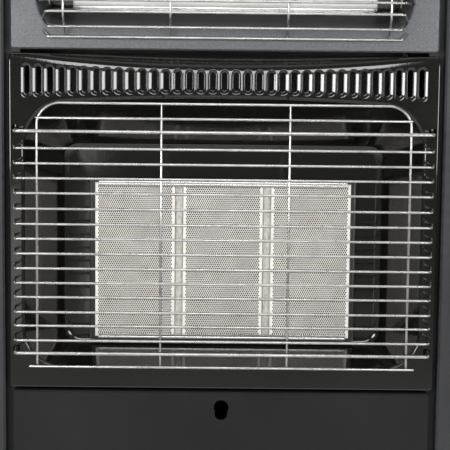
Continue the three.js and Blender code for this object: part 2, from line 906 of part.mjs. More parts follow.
/** Loops of the bowl, from its mouth to its flat back, grown outwards by `grow`. */
function bowlLoops(grow, start) {
  const mouth = { left: -bowl.side, right: bowl.side, bottom: bowl.bottom, top: bowl.top };
  const backSide = burner.side + windowGap + bowlBackBeside;
  const back = {
    left: -backSide,
    right: backSide,
    bottom: burner.bottom - windowGap - bowlBackBelow,
    top: burner.top + windowGap + bowlBackAbove,
  };
  const mix = (share) => ({
    left: THREE.MathUtils.lerp(mouth.left, back.left, share),
    right: THREE.MathUtils.lerp(mouth.right, back.right, share),
    bottom: THREE.MathUtils.lerp(mouth.bottom, back.bottom, share),
    top: THREE.MathUtils.lerp(mouth.top, back.top, share),
  });
  const radius = (share) => THREE.MathUtils.lerp(bowlCornerRadius, bowlBackRadius, share);
  const ring = (share, extra) =>
    bowed(
      frontLoop(mix(share), radius(share), share * bowlDepth, extra + grow, bowlSteps),
      (1 - share) * bowlTopBow,
    );
  const rim = (y, extra) =>
    bowed(frontLoop(mouth, bowlCornerRadius, y, extra, bowlSteps), bowlTopBow);
  const loops = [ring(0.06, 0), ring(0.9, 0), ring(1, -1.5)];
  if (start) {
    loops.unshift(
      rim(-1, bowlEdgeRoll),
      rim(0, bowlEdgeRoll),
      rim(bowlEdgeRoll * 0.25, bowlEdgeRoll * 0.3),
    );
  } else {
    loops.unshift(rim(enamelSheet * 0.4, bowlEdgeRoll + grow));
    loops.at(-1).forEach((p) => p.setY(p.y + enamelSheet));
  }
  return loops;
}

const enamelSheet = 1.2;
const louvreHalfCount = Math.floor((halfFascia - louvreSideMargin) / louvrePitch + 1e-6);
const louvreReach = louvreHalfCount * louvrePitch;
const browSlope = browSetback / browRidgeMargin;
const ridgeHeight = (x) =>
  fasciaTop - browRidgeMargin + browEndRise * Math.min((x / halfFascia) ** 2, 1.1);

/** Everything in front of the brow's sloping face, moved back by `setback`. */
function browFront(setback) {
  const reach = halfFascia + 5;
  const steps = 20;
  const loops = Array.from({ length: steps + 1 }, (_, i) => {
    const x = -reach + (2 * reach * i) / steps;
    const low = ridgeHeight(x) - 6;
    const high = fasciaTop + 6;
    const face = (z) => browSlope * (z - ridgeHeight(x)) + setback;
    return [at(x, face(low), low), at(x, face(high), high), at(x, face(low) - 1, high)];
  });
  return loft(loops);
}

function louvre(i) {
  const x = i * louvrePitch;
  const share = (x / louvreReach) ** 2;
  return {
    x,
    top: fasciaTop - louvreTopMargin + louvreEndRise * share,
    bottom: fasciaTop - louvreBottomMargin - louvreEndDrop * share,
  };
}

const hookX = halfFascia - hookHoleMargin;
const hookBars = [
  { z: bowl.bottom + guardLowerHookBar, turn: -1 },
  { z: bowl.top - guardUpperHookBar, turn: 1 },
];
const hookSeat = hookHoleRadius - hookBarWire / 2 - clearance; // wire's middle to the hole's
const hookHoles = hookBars.flatMap(({ z, turn }) =>
  [-hookX, hookX].map((x) => ({ x, z: z + turn * hookSeat })),
);

function burnerFascia() {
  const box = { left: -halfFascia, right: halfFascia, bottom: fasciaBottom, top: fasciaTop };
  const outside = cut(loft(panLoops(box, 3.5, 0, panelBack, 0)), browFront(0));
  const inside = cut(
    loft(panLoops(box, 3.5, enamelSheet, panelBack + 1, -enamelSheet)),
    browFront(enamelSheet * Math.hypot(1, browSlope)),
  );
  const louvres = [];
  for (let i = -louvreHalfCount; i <= louvreHalfCount; i += 1) louvres.push(louvre(i));
  const slots = louvres.map(({ x, top, bottom }) =>
    prism('y', obround(x, bottom, top, louvreWidth / 2, 3), -1, 2 * enamelSheet),
  );
  const window = block(
    -burner.side - windowGap,
    burner.side + windowGap,
    bowlDepth - 3,
    bowlDepth + 3,
    burner.bottom - windowGap,
    burner.top + windowGap,
  );
  const pilotSlots = [pilotX - 10.5, pilotX + 10.5].map((x) =>
    block(x - 9.5, x + 9.5, bowlDepth - 16, bowlDepth - 7, bowl.bottom - 4, bowl.bottom + 20),
  );
  const holes = hookHoles.map(({ x, z }) =>
    prism('y', circle(x, z, hookHoleRadius, 12), -1, enamelSheet + 1),
  );
  return cut(
    join(cut(outside, inside), loft(bowlLoops(enamelSheet * 1.2, false))),
    loft(bowlLoops(0, true)),
    ...slots,
    window,
    ...pilotSlots,
    ...holes,
  );
}

// ------------------------------------------------------------------ burner

const pilotX = 16;
const plaqueXs = Array.from(
  { length: plaqueCount },
  (_, i) => (i - (plaqueCount - 1) / 2) * (plaqueWidth + plaqueGap),
);
const plaqueBottom = burner.bottom + burnerRim;
const plaqueTop = plaqueBottom + plaqueHeight;
const venturiY = burner.front + venturiFromRim;
const plaqueBack = plaqueFace + plaqueThickness;

function burnerHousing() {
  const wall = burnerSheet;
  const shell = cut(
    block(-burner.side, burner.side, burner.front, burner.back, burner.bottom, burner.top),
    block(
      -burner.side + wall,
      burner.side - wall,
      burner.front - 1,
      plaqueBack + clearance,
      burner.bottom + wall,
      burner.top - wall,
    ),
    block(
      -burner.side + wall + 6,
      burner.side - wall - 6,
      plaqueBack,
      burner.back - wall,
      burner.bottom + wall + 6,
      burner.top - wall - 6,
    ),
  );
  const foot = burner.bottom - venturiLength;
  const tubes = plaqueXs.map((x) =>
    prism('z', circle(x, venturiY, venturiRadius, 10), foot, burner.bottom + 9),
  );
  const bores = plaqueXs.map((x) =>
    prism('z', circle(x, venturiY, venturiRadius - 2, 10), foot - 1, burner.bottom + 12),
  );
  return cut(join(shell, ...tubes), ...bores);
}

const plaque = (x) =>
  block(
    x - plaqueWidth / 2,
    x + plaqueWidth / 2,
    plaqueFace,
    plaqueBack,
    plaqueBottom,
    plaqueTop,
  );

const gasket = (x) =>
  block(
    x - plaqueGap / 2 + clearance,
    x + plaqueGap / 2 - clearance,
    plaqueFace + 1.5,
    plaqueBack,
    plaqueBottom,
    plaqueTop,
  );

/** A retaining strip over the plaques' ends, hooked round the housing's inner edge. */
function retainingStrip(low) {
  const reach = plaqueBank / 2 - 3.5;
  const front = plaqueFace - clearance - stripThickness;
  const bottom = low ? plaqueBottom - 1.8 : plaqueTop - stripHeight + 1.8;
  return block(-reach, reach, front, front + stripThickness, bottom, bottom + stripHeight);
}

const manifoldZ = burner.bottom - venturiLength - manifoldDrop;
const valveOutletZ = plateTop - controlPlate - clearance - 46;

function gasManifold() {
  const left = Math.min(...plaqueXs) - 20;
  const right = Math.max(...plaqueXs) + 20;
  const feedX = burner.side + 47;
  const feed = rounded(
    [
      at(right - 4, venturiY, manifoldZ),
      at(feedX, venturiY, manifoldZ),
      at(feedX, venturiY, valveOutletZ),
      at(feedX, controlMiddle, valveOutletZ),
      at(knobX + 36 + clearance, controlMiddle, valveOutletZ),
    ],
    14,
  );
  const injectors = plaqueXs.map((x) =>
    prism('z', circle(x, venturiY, 3.5, 8), manifoldZ, burner.bottom - venturiLength + 3),
  );
  const brackets = [-1, 1].map((side) => {
    const x = side * (plaqueWidth + plaqueGap) * 0.5;
    return block(x - 7, x + 7, venturiY - 1, venturiY + 1, manifoldZ, burner.bottom - clearance);
  });
  return join(
    prism('x', circle(venturiY, manifoldZ, manifoldRadius, 8), left, right),
    wire(feed, 2 * feedRadius),
    ...injectors,
    ...brackets,
  );
}

/** Pilot burner, spark electrode and thermocouple on a bracket under the housing. */
function pilotAssembly() {
  const shelf = burner.bottom - 31;
  const front = burner.front - 8;
  const back = burner.front + 17;
  const rod = (x, radius, top) =>
    prism('z', circle(x, front + 5, radius, 8), shelf, burner.bottom - top);
  return join(
    block(pilotX - 19, pilotX + 19, front, back, shelf - 1.2, shelf),
    block(pilotX - 19, pilotX + 19, back - 1.2, back, shelf - 1.2, burner.bottom - clearance),
    rod(pilotX - 8, 4, 10),
    rod(pilotX + 4, 1.6, 7),
    rod(pilotX + 12, 2.2, 8),
    prism('z', circle(pilotX - 8, front + 5, 3, 8), shelf - 14, shelf),
  );
}

function gasInlet() {
  const top = plateTop - controlPlate - clearance - 74 - clearance;
  const x = knobX - 10;
  const foot = top - 120;
  const bores = 2.5;
  const barbs = Array.from({ length: 3 }, (_, i) => [
    [6, foot + 7 * i],
    [4.4, foot + 7 * i + 6.5],
  ]).flat();
  const profile = [
    [bores, foot],
    ...barbs,
    [4.4, foot + 26],
    [9, foot + 26],
    [9, foot + 36],
    [5, foot + 36],
    [5, top],
    [bores, top],
    [bores, foot],
  ];
  return solid(turned(profile, 10).translate(x, controlMiddle, 0));
}

function heatShield() {
  const side = halfWidth - panelSheet - clearance;
  const bottom = fasciaBottom - 8;
  const top = upperPanelTop - 15;
  const half = 0.6;
  const path = [
    at(-side + half, heatShieldBack - 24),
    at(-side + half, heatShieldBack),
    at(side - half, heatShieldBack),
    at(side - half, heatShieldBack - 24),
  ];
  return prism('z', ribbon(path, 2 * half), bottom, top);
}

// ------------------------------------------------------------------ guards

const guardBendX = halfFascia - guardBarEndMargin;

/** A guard bar: straight across, with both ends bent back to stand on the fascia. */
function footedBar(z, footX) {
  const path = [
    at(-footX, -clearance, z),
    at(-guardBendX, -guardStandoff, z),
    at(guardBendX, -guardStandoff, z),
    at(footX, -clearance, z),
  ];
  return wire(rounded(path, 4), barWire);
}

/** A thick guard bar whose bent ends pass through the fascia and turn up or down behind it. */
function hookedBar(z, turn) {
  const behind = enamelSheet + 0.6 + hookBarWire / 2;
  const end = z + turn * hookLength;
  const path = [
    at(-hookX, behind, end),
    at(-hookX, behind, z),
    at(-guardBendX, -guardStandoff, z),
    at(guardBendX, -guardStandoff, z),
    at(hookX, behind, z),
    at(hookX, behind, end),
  ];
  return wire(rounded(path, [2.5, 4, 4, 2.5]), hookBarWire);
}

function burnerGuard() {
  const behind = -guardStandoff + barWire / 2 + uprightWire / 2 - weldDepth;
  const hoopX = bowl.side - guardHoopInset;
  const hoopTop = bowl.top - guardHoopTop;
  const bottom = bowl.bottom + guardBottomBar;
  const feet = halfFascia - guardFootMargin;
  const bars = [];
  for (
    let z = hookBars[1].z - guardFirstBar;
    z > hookBars[0].z + guardLastBar;
    z -= guardBarPitch
  ) {
    bars.push(footedBar(z, feet));
  }
  const straight = (z, reach) =>
    wire([at(-reach, -guardStandoff, z), at(reach, -guardStandoff, z)], barWire);
  const hoop = wire(
    rounded(
      [
        at(-hoopX, behind, bottom),
        at(-hoopX, behind, hoopTop),
        at(hoopX, behind, hoopTop),
        at(hoopX, behind, bottom),
      ],
      guardHoopRadius,
      4,
    ),
    uprightWire,
  );
  const uprights = guardUprights.map((x) =>
    wire([at(x, behind, bottom), at(x, behind, hoopTop)], uprightWire),
  );
  return join(
    hoop,
    ...uprights,
    ...bars,
    ...hookBars.map(({ z, turn }) => hookedBar(z, turn)),
    straight(bowl.top - guardHoopBar, hoopX + uprightWire / 2),
    straight(bottom, hoopX + guardBottomReach),
  );
}

// ------------------------------------------------------------------ electric element

const elementOpening = {
  left: -halfFascia + elementOpeningSide,
  right: halfFascia - elementOpeningSide,
  bottom: elementMiddle - elementOpeningHeight / 2,
  top: elementMiddle + elementOpeningHeight / 2,
};
const elementThroat = {
  left: elementOpening.left + elementWallInsetSide,
  right: elementOpening.right - elementWallInsetSide,
  bottom: elementOpening.bottom + elementWallInsetHeight,
  top: elementOpening.top - elementWallInsetHeight,
};
const throatRadius = elementOpeningRadius - 9;

function upperFascia() {
  const box = {
    left: -halfFascia + 1.5,
    right: halfFascia - 1.5,
    bottom: upperPanelBottom,
    top: upperPanelTop,
  };
  const wall = panelSheet;
  return cut(
    join(
      pan(box, 3, 0, panelBack, panelSheet),
      loft([
        frontLoop(elementOpening, elementOpeningRadius, 0.4, 2 + wall),
        frontLoop(elementOpening, elementOpeningRadius, 2, wall),
        frontLoop(elementThroat, throatRadius, elementWallDepth, wall),
      ]),
    ),
    loft([
      frontLoop(elementOpening, elementOpeningRadius, -1, 2),
      frontLoop(elementOpening, elementOpeningRadius, 0, 2),
      frontLoop(elementOpening, elementOpeningRadius, 0.6, 0.6),
      frontLoop(elementOpening, elementOpeningRadius, 2, 0),
      frontLoop(elementThroat, throatRadius, elementWallDepth + 1, 0),
    ]),
    ...elementFootPaths.flatMap((path) => [
      wire(path.slice(0, 2), barWire + 2 * clearance),
      wire(path.slice(-2), barWire + 2 * clearance),
    ]),
  );
}

const reflectorFront = elementWallDepth + clearance + reflectorSheet / 2;
const tubeY = reflectorFront + reflectorDepth * 0.45;
const reflectorReach = elementThroat.right - 2;

function reflector() {
  const half = (elementThroat.top - elementThroat.bottom) / 2;
  const lobe = tubeSpacing / 2;
  const widest = THREE.MathUtils.degToRad(62);
  const troughRadius = (lobe - 0.8) / Math.sin(widest);
  const trough = Array.from({ length: 7 }, (_, i) => {
    const angle = THREE.MathUtils.mapLinear(i, 0, 6, -widest, widest);
    return at(
      tubeY + reflectorDepth * 0.5 * Math.cos(angle),
      lobe + troughRadius * Math.sin(angle),
    );
  });
  const upper = [...trough, at(reflectorFront, half + reflectorSheet / 2)];
  const path = [
    ...[...upper].reverse().map((p) => at(p.x, elementMiddle - p.y)),
    ...upper.map((p) => at(p.x, elementMiddle + p.y)),
  ];
  return prism('x', ribbon(path, reflectorSheet), -reflectorReach, reflectorReach);
}

const tubeHeights = [elementMiddle - tubeSpacing / 2, elementMiddle + tubeSpacing / 2];
const capInner = reflectorReach - capLength;

function quartzTube(z) {
  const reach = reflectorReach - 4;
  return cut(
    prism('x', circle(tubeY, z, tubeRadius), -reach, reach),
    prism('x', circle(tubeY, z, tubeRadius - tubeWall), -reach - 1, reach + 1),
  );
}

/** An end bracket with a porcelain socket for each tube. */
function elementHolder(side) {
  const span = (from, to) => (side > 0 ? [from, to] : [-to, -from]);
  const start = reflectorReach + clearance;
  const half = (elementThroat.top - elementThroat.bottom) / 2 + 3;
  const plate = prism(
    'x',
    rectangle(
      reflectorFront,
      reflectorFront + reflectorDepth,
      elementMiddle - half,
      elementMiddle + half,
      6,
      1,
    ),
    ...span(start, start + 2),
  );
  const sockets = tubeHeights.map((z) =>
    prism('x', circle(tubeY, z, capRadius, 10), ...span(capInner, start + 12)),
  );
  const bores = tubeHeights.map((z) =>
    prism('x', circle(tubeY, z, tubeRadius + clearance), ...span(capInner - 1, reflectorReach - 3)),
  );
  return cut(join(plate, ...sockets), ...bores);
}

const elementGuardFront = -elementGuardStandoff;
const elementGuardBend = elementOpening.right - elementGuardEndSide;
const elementFootOffsets = [-12.3, 0, 12.3]; // bars whose feet pass through the opening's wall
const outerBarOffset = 44.5;
const guardShoulder = 25; // opening's middle to where the guard starts to lean back

/** How far forward a bar of the element guard lies. */
function elementBarY(offset) {
  const nearPanel = -clearance - barWire - uprightWire + weldDepth;
  const reach = Math.abs(offset);
  if (reach <= guardShoulder) return elementGuardFront;
  return THREE.MathUtils.mapLinear(
    reach,
    guardShoulder,
    outerBarOffset,
    elementGuardFront,
    nearPanel,
  );
}

/** The path of a bar with both ends bent back to (footX, footY, footOffset). */
function elementBarPath(offset, footX, footY, footOffset) {
  const y = elementBarY(offset);
  return rounded(
    [
      at(-footX, footY, elementMiddle + footOffset),
      at(-elementGuardBend, y, elementMiddle + offset),
      at(elementGuardBend, y, elementMiddle + offset),
      at(footX, footY, elementMiddle + footOffset),
    ],
    3,
  );
}

const elementFootPaths = elementFootOffsets.map((offset) =>
  elementBarPath(offset, elementOpening.right + 2, 8, offset),
);

function elementGuard() {
  const tipX = elementOpening.right - 5.5;
  const outer = [-1, 1].flatMap((side) => [
    elementBarPath(side * outerBarOffset, elementGuardBend + 5, -1.5, side * 38.5),
    elementBarPath(side * 35.5, tipX, -0.9, side * 29),
    elementBarPath(side * 22.5, tipX, -0.9, side * 28.5),
  ]);
  const bars = [...elementFootPaths, ...outer].map((path) => wire(path, barWire));
  const crossing = barWire / 2 + uprightWire / 2 - weldDepth;
  const end = elementBarY(outerBarOffset) + crossing;
  const face = elementGuardFront + crossing;
  const uprights = elementUprights.map((share) => {
    const x = share * elementOpening.right;
    const path = [
      at(x, end, elementMiddle - outerBarOffset),
      at(x, face, elementMiddle - guardShoulder),
      at(x, face, elementMiddle + guardShoulder),
      at(x, end, elementMiddle + outerBarOffset),
    ];
    return wire(rounded(path, 3), uprightWire);
  });
  return join(...uprights, ...bars);
}

// ------------------------------------------------------------------ castors, about the stem

function castorFork() {
  const crown = castorHeight - 0.5;
  const inner = wheelWidth / 2 + 1;
  const outer = inner + 2;
  const outline = rounded(
    [
      at(-10, crown - 5),
      at(-10, crown),
      at(14, crown),
      at(castorTrail + 9, wheelRadius + 2),
      at(castorTrail + 5, wheelRadius - 7),
      at(castorTrail - 6, wheelRadius - 7),
      at(-10, crown - 5),
    ],
    [0, 2, 6, 4, 4],
  ).slice(0, -1);
  const cheeks = cut(
    prism('x', outline, -outer, outer),
    block(-inner, inner, -30, castorTrail + 30, 0, crown - 4),
  );
  const rivet = circle(castorTrail, wheelRadius, axleRadius + 1.5, 8);
  return join(
    cheeks,
    prism('z', circle(0, 0, 13), crown - 4, crown),
    prism('z', circle(0, 0, stemRadius), crown - 1, castorHeight + 16),
    prism('x', circle(castorTrail, wheelRadius, axleRadius), -outer, outer),
    prism('x', rivet, -outer - 1.5, -outer + 1),
    prism('x', rivet, outer - 1, outer + 1.5),
  );
}

/** A moulded wheel about its own axle, with a flat of its tread at the bottom. */
function castorWheel() {
  const half = wheelWidth / 2;
  const tread = wheelRadius / Math.cos(Math.PI / wheelSides);
  const side = [
    [axleRadius + clearance, half],
    [8, half],
    [10, half - 2],
    [wheelRadius - 5, half - 2],
    [tread - 2, half],
    [tread, half - 2.5],
  ];
  const mirrored = [...side].reverse().map(([radius, height]) => [radius, -height]);
  return solid(
    turned([...side, ...mirrored, side[0]], wheelSides)
      .rotateZ(Math.PI / wheelSides)
      .rotateY(Math.PI / 2),
  );
}

// ------------------------------------------------------------------ assembly

/** Puts a mesh at its place. */
function placed(mesh, x, y, z) {
  mesh.position.set(x, y, z);
  return mesh;
}

const heater = new THREE.Group();
const frontmost = -guardStandoff - hookBarWire / 2;
const rearmost = door.face + clearance + gripFlangeThickness;
heater.position.y = -(frontmost + rearmost) / 2;

const cabinet = new THREE.Group();
cabinet.add(
  piece('left_side_panel', sidePanel(-1), greyPaint),
  piece('right_side_panel', sidePanel(1), greyPaint),
  piece('base_tray', baseTray(), charcoalPaint),
  piece('bottle_shelf', bottleShelf(), galvanised),
  piece('lower_front_panel', lowerFrontPanel(), charcoalPaint),
  piece('rear_upper_panel', rearUpperPanel(), charcoalPaint),
  piece('rear_door', rearDoor(), charcoalPaint),
  piece('door_catch', doorCatch(), blackPlastic),
  piece('top_casing', topCasing(), charcoalPaint),
  piece('heat_shield', heatShield(), galvanised),
  placed(piece('lower_hinge_pin', hingePin(), steel), hinge.x, hinge.y, castorHeight - clearance),
);
const upperPin = placed(
  piece('upper_hinge_pin', hingePin(), steel),
  hinge.x,
  hinge.y,
  rearSplit + panelSheet + clearance,
);
upperPin.rotation.x = Math.PI;
cabinet.add(upperPin);

for (const [name, side] of [['left_grip', -1], ['right_grip', 1]]) {
  const grip = piece(name, fingerCup(gripLength, gripHeight, gripDepth), blackPlastic);
  grip.rotation.set(0, (side * Math.PI) / 2, Math.PI / 2, 'YXZ');
  cabinet.add(placed(grip, side * halfWidth, gripMiddleY, sideTop - gripBelowTop));
}
const pull = piece('door_pull', fingerCup(pullLength, pullHeight, pullDepth), blackPlastic);
pull.rotation.x = -Math.PI / 2;
cabinet.add(placed(pull, doorPull.x, door.face, doorPull.z));

/** A cable gland through the rear panel, turned about Y. */
function cableGland() {
  const profile = [
    [3.6, -12],
    [7.6, -12],
    [7.6, panelSheet + clearance],
    [11, panelSheet + clearance],
    [11, panelSheet + 4],
    [7, panelSheet + 10],
    [3.6, panelSheet + 10],
    [3.6, -12],
  ];
  return solid(turned(profile, 12).rotateX(-Math.PI / 2));
}
cabinet.add(
  placed(piece('mains_gland', cableGland(), blackPlastic), mainsGland.x, rearSkin, mainsGland.z),
);

const controls = new THREE.Group();
controls.add(
  piece('control_panel', controlPanel(), blackPlastic),
  piece('switch_block', switchBlock(), blackPlastic),
  placed(piece('gas_valve', gasValve(), brass), knobX, controlMiddle, plateTop),
  placed(piece('valve_push_rod', pushRod(), steel), knobX, controlMiddle, plateTop),
  placed(piece('gas_knob', gasKnob(), blackPlastic), knobX, controlMiddle, plateTop + knobLift),
  placed(piece('igniter_button', igniterButton(), redPlastic), igniterX, controlMiddle, plateTop),
  placed(piece('igniter_body', igniterBody(), blackPlastic), igniterX, controlMiddle, plateTop),
);
['right_rocker', 'left_rocker'].forEach((name, i) => {
  controls.add(
    placed(piece(name, rocker(), redPlastic), rockerXs[i], controlMiddle, plateTop + rockerPivot),
  );
});

const gasFire = new THREE.Group();
const gasketXs = plaqueXs.slice(1).map((x) => x - (plaqueWidth + plaqueGap) / 2);
gasFire.add(
  piece('burner_fascia', burnerFascia(), blackEnamel),
  piece('burner_housing', burnerHousing(), blackEnamel),
  ...plaqueXs.map((x, i) => piece(`plaque_${i + 1}`, plaque(x), ceramic)),
  ...gasketXs.map((x, i) => piece(`plaque_gasket_${i + 1}`, gasket(x), fibre)),
  piece('upper_plaque_strip', retainingStrip(false), steel),
  piece('lower_plaque_strip', retainingStrip(true), steel),
  piece('gas_manifold', gasManifold(), brass),
  piece('pilot_assembly', pilotAssembly(), steel),
  piece('gas_inlet', gasInlet(), brass),
  piece('burner_guard', burnerGuard(), chrome),
);
const electricFire = new THREE.Group();
electricFire.add(
  piece('upper_fascia', upperFascia(), metallicPaint),
  piece('reflector', reflector(), polishedAluminium),
  piece('lower_quartz_tube', quartzTube(tubeHeights[0]), milkyQuartz),
  piece('upper_quartz_tube', quartzTube(tubeHeights[1]), milkyQuartz),
  piece('left_tube_holder', elementHolder(-1), ceramic),
  piece('right_tube_holder', elementHolder(1), ceramic),
  piece('element_guard', elementGuard(), chrome),
);

const castors = new THREE.Group();
castorPlaces.forEach(({ x, y }, i) => {
  const castor = new THREE.Group();
  castor.position.set(x, y, 0);
  castor.add(
    piece(`castor_fork_${i + 1}`, castorFork(), blackPlastic),
    placed(piece(`castor_wheel_${i + 1}`, castorWheel(), rubber), 0, castorTrail, wheelRadius),
  );
  castors.add(castor);
});

heater.add(cabinet, controls, gasFire, electricFire, castors);
export default heater;
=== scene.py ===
import math

import bpy
import numpy as np
from mathutils import Matrix, Vector
from mathutils.geometry import delaunay_2d_cdt


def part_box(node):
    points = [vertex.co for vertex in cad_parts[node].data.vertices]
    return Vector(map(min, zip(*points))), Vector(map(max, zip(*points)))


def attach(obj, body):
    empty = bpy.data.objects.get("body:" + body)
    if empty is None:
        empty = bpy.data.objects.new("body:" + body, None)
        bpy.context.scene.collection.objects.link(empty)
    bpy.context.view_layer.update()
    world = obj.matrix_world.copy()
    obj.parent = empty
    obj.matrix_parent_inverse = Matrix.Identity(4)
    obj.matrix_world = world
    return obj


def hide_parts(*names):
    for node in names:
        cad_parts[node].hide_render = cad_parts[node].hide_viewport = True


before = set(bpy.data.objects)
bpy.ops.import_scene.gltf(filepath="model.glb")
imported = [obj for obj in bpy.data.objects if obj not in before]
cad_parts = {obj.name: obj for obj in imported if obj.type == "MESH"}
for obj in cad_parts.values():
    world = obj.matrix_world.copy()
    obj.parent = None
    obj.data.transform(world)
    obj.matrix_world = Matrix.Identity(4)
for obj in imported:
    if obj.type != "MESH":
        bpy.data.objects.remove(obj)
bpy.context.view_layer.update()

# Unless a name or comment says otherwise, sizes are millimetres from the middle of the fascia's
# front face: x to the right, y back into the cabinet, z up.
FASCIA_LOW, FASCIA_HIGH = (np.array(corner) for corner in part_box("burner_fascia"))
ORIGIN = np.array([0.0, FASCIA_LOW[1], (FASCIA_LOW[2] + FASCIA_HIGH[2]) / 2])  # in metres
HALF_W = (FASCIA_HIGH[0] - FASCIA_LOW[0]) * 500
HALF_H = (FASCIA_HIGH[2] - FASCIA_LOW[2]) * 500


def local_box(node):
    """A CAD node's box in the fascia's millimetres."""
    low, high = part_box(node)
    return (np.array(low) - ORIGIN) * 1000, (np.array(high) - ORIGIN) * 1000


def world_box(node):
    """A CAD node's box in millimetres of the shared frame."""
    low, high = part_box(node)
    return np.array(low) * 1000, np.array(high) * 1000


# ---------------------------------------------------------------- materials

MIX_FROM, MIX_TO, MIX_COLOR = 6, 7, 2  # a colour mix node's sockets, by number as their names repeat


class Nodes:
    """A material's node tree with its Principled shader. Texture scales are per metre."""

    def __init__(self, name, color, roughness, metallic=0.0, **sockets):
        self.material = bpy.data.materials.new(name)
        self.material.use_nodes = True
        self.tree = self.material.node_tree
        self.shader = self.tree.nodes["Principled BSDF"]
        self.shader.inputs["Base Color"].default_value = (*color, 1)
        self.shader.inputs["Roughness"].default_value = roughness
        self.shader.inputs["Metallic"].default_value = metallic
        for key, value in sockets.items():
            self.shader.inputs[key.replace("_", " ")].default_value = value
        self.coordinates = self.tree.nodes.new("ShaderNodeTexCoord").outputs["Object"]
        self.bumped = None

    def node(self, kind, values=None, **links):
        """A new node; values go to its sockets or settings, links are joined to its inputs."""
        made = self.tree.nodes.new(kind)
        for key, value in (values or {}).items():
            if key in made.inputs:
                made.inputs[key].default_value = value
            else:
                setattr(made, key, value)
        for key, socket in links.items():
            self.tree.links.new(socket, made.inputs[key.replace("_", " ")])
        return made

    def axis(self, letter):
        """The object coordinate along one axis, in metres."""
        return self.node("ShaderNodeSeparateXYZ", Vector=self.coordinates).outputs[letter]

    def noise(self, scale, detail, stretch=None, roughness=0.55):
        vector = self.coordinates
        if stretch:
            mapping = self.node("ShaderNodeMapping", {"Scale": stretch}, Vector=vector)
            vector = mapping.outputs["Vector"]
        values = {"Scale": scale, "Detail": detail, "Roughness": roughness}
        return self.node("ShaderNodeTexNoise", values, Vector=vector).outputs["Fac"]

    def cells(self, scale):
        made = self.node("ShaderNodeTexVoronoi", {"Scale": scale}, Vector=self.coordinates)
        return made.outputs["Distance"]

    def ramp(self, source, low, high, start, end):
        """Maps a source's stretch from start to end onto low to high."""
        values = {"From Min": start, "From Max": end, "To Min": low, "To Max": high}
        return self.node("ShaderNodeMapRange", values, Value=source).outputs["Result"]

    def color(self, source, first, second, start=0.3, end=0.7):
        ramp = self.node("ShaderNodeValToRGB", Fac=source)
        ramp.color_ramp.elements[0].position = start
        ramp.color_ramp.elements[1].position = end
        ramp.color_ramp.elements[0].color = (*first, 1)
        ramp.color_ramp.elements[1].color = (*second, 1)
        self.tree.links.new(ramp.outputs["Color"], self.shader.inputs["Base Color"])
        return self

    def toward(self, color, share):
        """Mixes the base colour made so far towards another one."""
        base = self.shader.inputs["Base Color"]
        mix = self.node("ShaderNodeMix", {"data_type": "RGBA"}, Factor=share)
        self.tree.links.new(base.links[0].from_socket, mix.inputs[MIX_FROM])
        mix.inputs[MIX_TO].default_value = (*color, 1)
        self.tree.links.new(mix.outputs[MIX_COLOR], base)
        return self

    def rough(self, source, low, high, start=0.3, end=0.7):
        value = self.ramp(source, low, high, start, end)
        self.tree.links.new(value, self.shader.inputs["Roughness"])
        return self

    def bump(self, source, distance):
        """Adds a bump over the ones made so far; distance is in millimetres."""
        links = {"Height": source}
        if self.bumped:
            links["Normal"] = self.bumped
        values = {"Strength": 1.0, "Distance": distance / 1000}
        self.bumped = self.node("ShaderNodeBump", values, **links).outputs["Normal"]
        self.tree.links.new(self.bumped, self.shader.inputs["Normal"])
        return self


def powder_coat(name, dark, light, roughness, gloss=0.5):
    """Matt paint with a fine orange-peel texture and faint dust."""
    made = Nodes(name, light, roughness, Specular_IOR_Level=gloss)
    made.color(made.noise(9, 4), dark, light, 0.35, 0.7)
    made.rough(made.noise(30, 4), roughness - 0.06, roughness + 0.06)
    made.bump(made.noise(900, 2), 0.05).bump(made.noise(2600, 1), 0.02)
    return made.material


def metallic_paint():
    """Grey paint with fine aluminium flake, with painted shade inside the electric fire's opening."""
    made = Nodes("metallic grey paint", (0.07, 0.072, 0.078), 0.42, 0.55)
    flake = made.noise(760, 4, roughness=0.75)
    made.color(flake, (0.034, 0.0352, 0.0385), (0.097, 0.1005, 0.108), 0.3, 0.7)
    front = float(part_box("upper_fascia")[0][1])
    # painted shade: the paint darkens from 2 to 12 mm behind the panel's front, inside the opening
    painted_shade_inside_opening = made.ramp(made.axis("Y"), 0.0, 0.88, front + 0.002, front + 0.012)
    made.toward((0.01, 0.01, 0.011), painted_shade_inside_opening)
    made.rough(made.noise(60, 3), 0.38, 0.48)
    made.bump(made.noise(1700, 1), 0.03)
    return made.material


def enamel():
    """Black vitreous enamel: a glassy, slightly wavy skin."""
    made = Nodes("black vitreous enamel", (0.006, 0.006, 0.0052), 0.06, Coat_Weight=0.3,
                 Coat_Roughness=0.03)
    made.color(made.noise(14, 3), (0.0028, 0.0028, 0.0025), (0.0048, 0.0047, 0.0041))
    made.rough(made.noise(45, 3), 0.035, 0.09)
    made.bump(made.noise(26, 1), 0.16).bump(made.noise(190, 2), 0.02).bump(made.noise(560, 2), 0.028)
    return made.material


def plated_wire(name, dark_from):
    """Nickel plate with painted shade at the wires' feet, where they bend back: further from the middle than
    dark_from metres.
    """
    made = Nodes(name, (0.5, 0.49, 0.475), 0.28, 1.0)
    made.color(made.noise(70, 4), (0.31, 0.306, 0.298), (0.39, 0.386, 0.375), 0.35, 0.6)
    reach = made.node("ShaderNodeMath", {"operation": "ABSOLUTE"}, Value=made.axis("X"))
    # painted shade: the plate darkens towards the wires' feet, where the bends back to the fascia look dark
    feet = made.ramp(reach.outputs["Value"], 0.0, 0.92, dark_from, dark_from + 0.0035)
    made.toward((0.035, 0.034, 0.032), feet)
    made.rough(made.noise(60, 2), 0.25, 0.31)
    made.bump(made.noise(500, 1), 0.003)
    return made.material


def ceramic():
    """Unglazed cream ceramic with a chalky skin."""
    made = Nodes("cream ceramic", (0.78, 0.75, 0.7), 0.88)
    made.color(made.noise(60, 5), (0.6, 0.573, 0.527), (0.71, 0.684, 0.64), 0.3, 0.68)
    made.bump(made.noise(1800, 3), 0.05)
    return made.material


